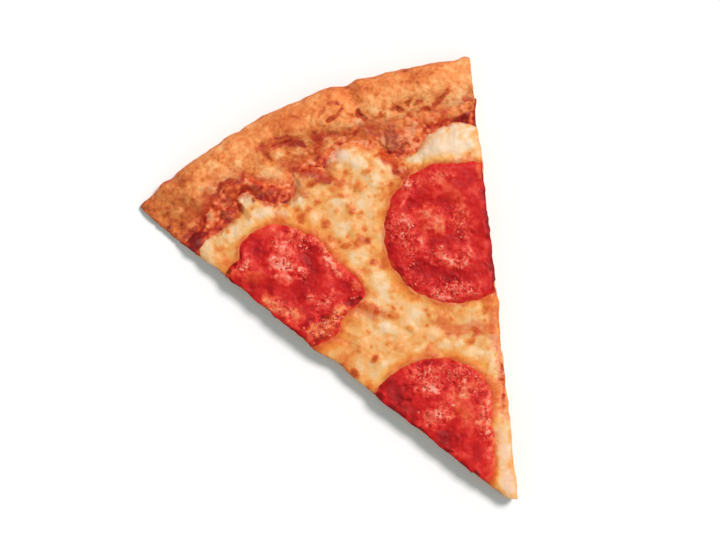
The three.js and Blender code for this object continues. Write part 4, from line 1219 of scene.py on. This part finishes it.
def melted_cheese():
    """Low-moisture mozzarella, melted and browned: cream to gold, with a film of its own oil."""
    own = "tone", "oil", "stain", "shade"
    material, tree, place, tone, oil, stain, shade = new_material("melted_mozzarella", *own)
    tone = mottled(tree, place, tone, amount=0.12, mm=2.2, roughness=0.65)
    stops = [
        (0, "eccdae"), (0.2, "ecbf8c"), (0.42, "e9a25a"),
        (0.62, "dd7634"), (0.8, "c2521d"), (1, "94330c"),
    ]
    cheese = add(tree, "ShaderNodeValToRGB", {0: tone}, stops)
    stops = [(0.2, "ecac58"), (0.5, "e68436"), (0.8, "cc581c")]
    oily = add(tree, "ShaderNodeValToRGB", {0: tone}, stops)
    base = add(tree, "ShaderNodeMix", {"Factor": oil, "A": cheese, "B": oily}, data_type="RGBA")
    sauce = sauce_colour(tree, place, shade)
    base = add(tree, "ShaderNodeMix", {"Factor": stain, "A": base, "B": sauce}, data_type="RGBA")
    pools = add(tree, "ShaderNodeTexNoise", patches(place, 2.5))
    limits = {"From Min": 0.3, "From Max": 0.7, "To Min": 0.3, "To Max": 0.48}
    roughness = add(tree, "ShaderNodeMapRange", {"Value": pools, **limits})
    curds = add(tree, "ShaderNodeTexNoise", patches(place, 2.4, 3))
    normal = add(tree, "ShaderNodeBump", {"Height": curds, "Distance": 0.22 * MM})
    # the curds' own fibres are finer than the render can show, so they are drawn at 0.9 mm
    fine = add(tree, "ShaderNodeTexNoise", patches(place, 0.9))
    normal = add(tree, "ShaderNodeBump", {"Height": fine, "Distance": 0.1 * MM, "Normal": normal})
    inputs = {
        "Base Color": base, "Roughness": roughness, "Normal": normal,
        "IOR": 1.38, "Specular IOR Level": 0.35,
        "Subsurface Weight": 0.12, "Subsurface Scale": 2 * MM, "Subsurface Radius": (1, 0.6, 0.3),
    }
    shader = add(tree, "ShaderNodeBsdfPrincipled", inputs)
    add(tree, "ShaderNodeOutputMaterial", {"Surface": shader})
    return material


def cured_meat():
    """Sliced cured pork sausage: red and smooth where lean, grainy where coarse meat stands out, its
    light speckle there partly painted glints.
    """
    material, tree, place, tone, oil, grain = new_material("cured_pork_sausage", "tone", "oil", "grain")
    tone = mottled(tree, place, tone, amount=0.065, mm=2.6)
    # the ground meat's fibres are finer than the render can show, so they are drawn at 1.1 mm; their
    # light speckle where grains stand out is partly fat and partly painted glints
    coarse = add(tree, "ShaderNodeTexNoise", patches(place, 1.1, 3, 0.6), normalize=False)
    contrast = add(tree, "ShaderNodeMapRange", {"Value": grain, "To Min": 0.03, "To Max": 0.21})
    tone = add(tree, "ShaderNodeMath", {0: coarse, 1: contrast, 2: tone}, operation="MULTIPLY_ADD")
    stops = [
        (0, "8a080a"), (0.25, "ac0e10"), (0.48, "cb1d19"),
        (0.66, "df3e30"), (0.84, "ec6852"), (1, "f69c8a"),
    ]
    meat = add(tree, "ShaderNodeValToRGB", {0: tone}, stops)
    stops = [(0.2, "a83410"), (0.5, "de6428"), (0.8, "ee9a58")]
    oily = add(tree, "ShaderNodeValToRGB", {0: tone}, stops)
    base = add(tree, "ShaderNodeMix", {"Factor": oil, "A": meat, "B": oily}, data_type="RGBA")
    roughness = add(tree, "ShaderNodeMapRange", {"Value": grain, "To Min": 0.5, "To Max": 0.3})
    wrinkles = add(tree, "ShaderNodeTexNoise", patches(place, 2.2, 3))
    normal = add(tree, "ShaderNodeBump", {"Height": wrinkles, "Distance": 0.2 * MM})
    height = add(tree, "ShaderNodeMath", {0: coarse, 1: grain}, operation="MULTIPLY")
    normal = add(tree, "ShaderNodeBump", {"Height": height, "Distance": 0.11 * MM, "Normal": normal})
    inputs = {"Base Color": base, "Roughness": roughness, "Normal": normal, "IOR": 1.38}
    shader = add(tree, "ShaderNodeBsdfPrincipled", {**inputs, "Specular IOR Level": 0.25})
    add(tree, "ShaderNodeOutputMaterial", {"Surface": shader})
    return material


def fat_and_painted_glints():
    """Pork fat on the meat, half melted: pale pink crowns that fade into the red round them, partly the
    fat's own colour and partly painted glints.
    """
    material, tree, _, tone, crown = new_material("pork_fat_and_painted_glints", "tone", "crown")
    stops = [(0, "c4322a"), (0.5, "d64c3e"), (0.85, "e66e5a"), (1, "f0907c")]
    pink = add(tree, "ShaderNodeValToRGB", {0: tone}, stops)
    # paler towards each blob's top: partly the fat's colour and partly a painted glint
    above = add(tree, "ShaderNodeMapRange", {"Value": crown, "From Min": 0.3, "From Max": 0.85})
    inputs = {"Factor": above, "A": colour("c8241e"), "B": pink}
    base = add(tree, "ShaderNodeMix", inputs, data_type="RGBA")
    inputs = {
        "Base Color": base, "Roughness": 0.55, "IOR": 1.4, "Specular IOR Level": 0.08,
        "Subsurface Weight": 0.1, "Subsurface Scale": 0.5 * MM, "Subsurface Radius": (1, 0.4, 0.3),
    }
    shader = add(tree, "ShaderNodeBsdfPrincipled", inputs)
    add(tree, "ShaderNodeOutputMaterial", {"Surface": shader})
    return material


def plain_paper():
    """Uncoated white paper: matt, with no pattern to be seen."""
    material, tree, _ = new_material("matt_white_paper")
    shader = add(tree, "ShaderNodeBsdfPrincipled", {"Base Color": colour("f7f7f7"), "Roughness": 0.9})
    add(tree, "ShaderNodeOutputMaterial", {"Surface": shader})
    return material


# -------- grains strewn over a surface
GRAIN_SIZES = {"Spacing": 1 * MM, "Smallest": 0.35 * MM, "Largest": 0.75 * MM}
GRAINS_AT_MOST = 3e6  # on a square metre


def strewing_tree():
    """Flat blobs, each turned and sized at random and more than half sunk in a mesh.

    They lie close together where the mesh's "grain" is high.
    """
    tree = bpy.data.node_groups.new("strewn grains", "GeometryNodeTree")
    tree.interface.new_socket("Grains", in_out="OUTPUT", socket_type="NodeSocketGeometry")
    kinds = {
        "Surface": "Geometry", "Spacing": "Float", "Smallest": "Float", "Largest": "Float",
        "Seed": "Int", "Finish": "Material",
    }
    for name, kind in kinds.items():
        tree.interface.new_socket(name, in_out="INPUT", socket_type="NodeSocket" + kind)
    given = add(tree, "NodeGroupInput").outputs
    grain = add(tree, "GeometryNodeInputNamedAttribute", {"Name": "grain"}, data_type="FLOAT")
    share = add(tree, "ShaderNodeMapRange", {"Value": grain, "From Min": 0.35})
    strew = {
        "Mesh": given["Surface"], "Distance Min": given["Spacing"], "Density Max": GRAINS_AT_MOST,
        "Density Factor": share, "Seed": given["Seed"],
    }
    strew = add(tree, "GeometryNodeDistributePointsOnFaces", strew, distribute_method="POISSON")
    # turned by up to a full circle round its own middle
    turn = {"Max": (0, 0, 6.28), "Seed": 1}
    turn = add(tree, "FunctionNodeRandomValue", turn, data_type="FLOAT_VECTOR")
    lie = {"Rotation": strew.outputs["Rotation"], "Rotate By": turn}
    lie = add(tree, "FunctionNodeRotateRotation", lie, rotation_space="LOCAL")
    form = {"Min": (0.8, 0.6, 0.2), "Max": (1.9, 1.1, 0.4), "Seed": 2}
    form = add(tree, "FunctionNodeRandomValue", form, data_type="FLOAT_VECTOR")
    size = {"Min": given["Smallest"], "Max": given["Largest"], "Seed": 3}
    size = add(tree, "FunctionNodeRandomValue", size, data_type="FLOAT")
    form = add(tree, "ShaderNodeVectorMath", {0: form, "Scale": size}, operation="SCALE")
    blob = add(tree, "GeometryNodeMeshUVSphere", {"Segments": 8, "Rings": 4, "Radius": 1.0})
    # each of a blob's points strays sideways, and sinks by about 0.4 of the blob's half height
    dents = {"Min": (-0.16, -0.16, -0.5), "Max": (0.16, 0.16, -0.3), "Seed": 5}
    dents = add(tree, "FunctionNodeRandomValue", dents, data_type="FLOAT_VECTOR")
    place = add(tree, "GeometryNodeInputPosition")
    # each blob point's height, kept so that the material can paint the top paler, partly as a painted
    # glint
    height = add(tree, "ShaderNodeSeparateXYZ", {"Vector": place}).outputs["Z"]
    crown = {"Geometry": blob, "Name": "crown", "Value": height}
    blob = add(tree, "GeometryNodeStoreNamedAttribute", crown, data_type="FLOAT", domain="POINT")
    blob = add(tree, "GeometryNodeSetPosition", {"Geometry": blob, "Offset": dents})
    blob = add(tree, "GeometryNodeSetShadeSmooth", {"Geometry": blob})
    laid = {"Points": strew, "Instance": blob, "Rotation": lie, "Scale": form}
    laid = add(tree, "GeometryNodeInstanceOnPoints", laid)
    tone = add(tree, "FunctionNodeRandomValue", {"Seed": 4}, data_type="FLOAT")
    toned = {"Geometry": laid, "Name": "tone", "Value": tone}
    toned = add(tree, "GeometryNodeStoreNamedAttribute", toned, data_type="FLOAT", domain="INSTANCE")
    real = add(tree, "GeometryNodeRealizeInstances", {"Geometry": toned})
    done = add(tree, "GeometryNodeSetMaterial", {"Geometry": real, "Material": given["Finish"]})
    add(tree, "NodeGroupOutput", {"Grains": done})
    return tree


def strewn(name, tree, carrier, **values):
    """What a tree of geometry nodes makes on a mesh, as a plain piece."""
    made = bpy.data.objects.new(name, carrier)
    bpy.context.scene.collection.objects.link(made)
    modifier = made.modifiers.new(name, "NODES")
    modifier.node_group = tree
    for socket in tree.interface.items_tree:
        if socket.name in values:
            modifier[socket.identifier] = values[socket.name]
    result = made.evaluated_get(bpy.context.evaluated_depsgraph_get())
    mesh = bpy.data.meshes.new_from_object(result)
    made.modifiers.clear()
    made.data = mesh
    return made


# -------- the slice
def set_piece(made, node):
    """Puts a piece on the root body and hides the solid from the part file that it stands in for."""
    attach(made, "root")
    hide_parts(node)


def build_slice():
    """All pieces from the bottom up. The slices of meat share their materials."""
    made = dough_slab()
    set_piece(piece("baked_dough", made, dough_looks(made), baked_dough()), "dough")
    made = sauce_slab()
    set_piece(piece("tomato_sauce", made, sauce_looks(made), cooked_sauce()), "sauce")
    made = cheese_slab()
    set_piece(piece("melted_cheese", made, cheese_looks(made), melted_cheese()), "cheese")
    meat = cured_meat()
    fat = fat_and_painted_glints()
    tree = strewing_tree()
    for seed, name in enumerate(DISCS):
        made = pepperoni_slab(name)
        disc = piece(f"pepperoni_slice_{name}", made, pepperoni_looks(name, made), meat)
        values = {**GRAIN_SIZES, "Seed": SEED + seed, "Finish": fat}
        grains = strewn(f"fat_and_glint_grains_{name}", tree, disc.data, **values)
        set_piece(disc, f"pepperoni_{name}")
        set_piece(grains, f"pepperoni_{name}")


# -------- floor, light and camera
FLOOR_HALF = 2.5  # metres
FLOOR_HEIGHT = -2e-5  # metres: clear of the slice's underside
SUN_STRENGTH = 2.7
SUN_WIDTH = math.radians(16)  # wide, for soft shadows
SUN_HEIGHT = math.radians(57)
SUN_SIDE = (0.98, 0.19)  # which way it lies, seen from above
SUN_COLOUR = (1.0, 0.91, 0.90)
ROOM_COLOUR = (0.81, 1.0, 1.0, 1)
ROOM_STRENGTH = 0.46
LENS = 120  # mm
SENSOR = 36  # mm
CAMERA_PLACE = [-9.1, 109.2, 932]  # mm, on the slice and above the floor
CAMERA_TURN = math.radians(-28.93)


def build_floor():
    """A wide sheet of paper."""
    mesh = bpy.data.meshes.new("floor")
    around = [(-1, -1), (1, -1), (1, 1), (-1, 1)]
    corners = [(x * FLOOR_HALF, y * FLOOR_HALF, FLOOR_HEIGHT) for x, y in around]
    mesh.from_pydata(corners, [], [(0, 1, 2, 3)])
    new_object("floor", mesh, plain_paper())


def build_light():
    """A wide light from the right, warmer than the light of the room."""
    data = bpy.data.lights.new("key", "SUN")
    data.energy = SUN_STRENGTH
    data.angle = SUN_WIDTH
    data.color = SUN_COLOUR
    key = bpy.data.objects.new("key", data)
    x, y = SUN_SIDE
    toward = Vector((x * math.cos(SUN_HEIGHT), y * math.cos(SUN_HEIGHT), math.sin(SUN_HEIGHT)))
    key.rotation_euler = toward.to_track_quat("Z", "Y").to_euler()
    bpy.context.scene.collection.objects.link(key)
    world = bpy.data.worlds.new("soft room light")
    world.use_nodes = True
    background = world.node_tree.nodes["Background"]
    background.inputs["Color"].default_value = ROOM_COLOUR
    background.inputs["Strength"].default_value = ROOM_STRENGTH
    bpy.context.scene.world = world


def build_camera():
    """Straight above the slice, which lies turned in the view."""
    data = bpy.data.cameras.new("camera")
    data.lens = LENS
    data.sensor_width = SENSOR
    camera = bpy.data.objects.new("camera", data)
    camera.location = np.array(CAMERA_PLACE) * MM + TIP
    camera.rotation_euler = (0, 0, CAMERA_TURN)
    bpy.context.scene.collection.objects.link(camera)
    bpy.context.scene.camera = camera


build_slice()
build_floor()
build_light()
build_camera()
bpy.context.scene.view_settings.view_transform = "Standard"
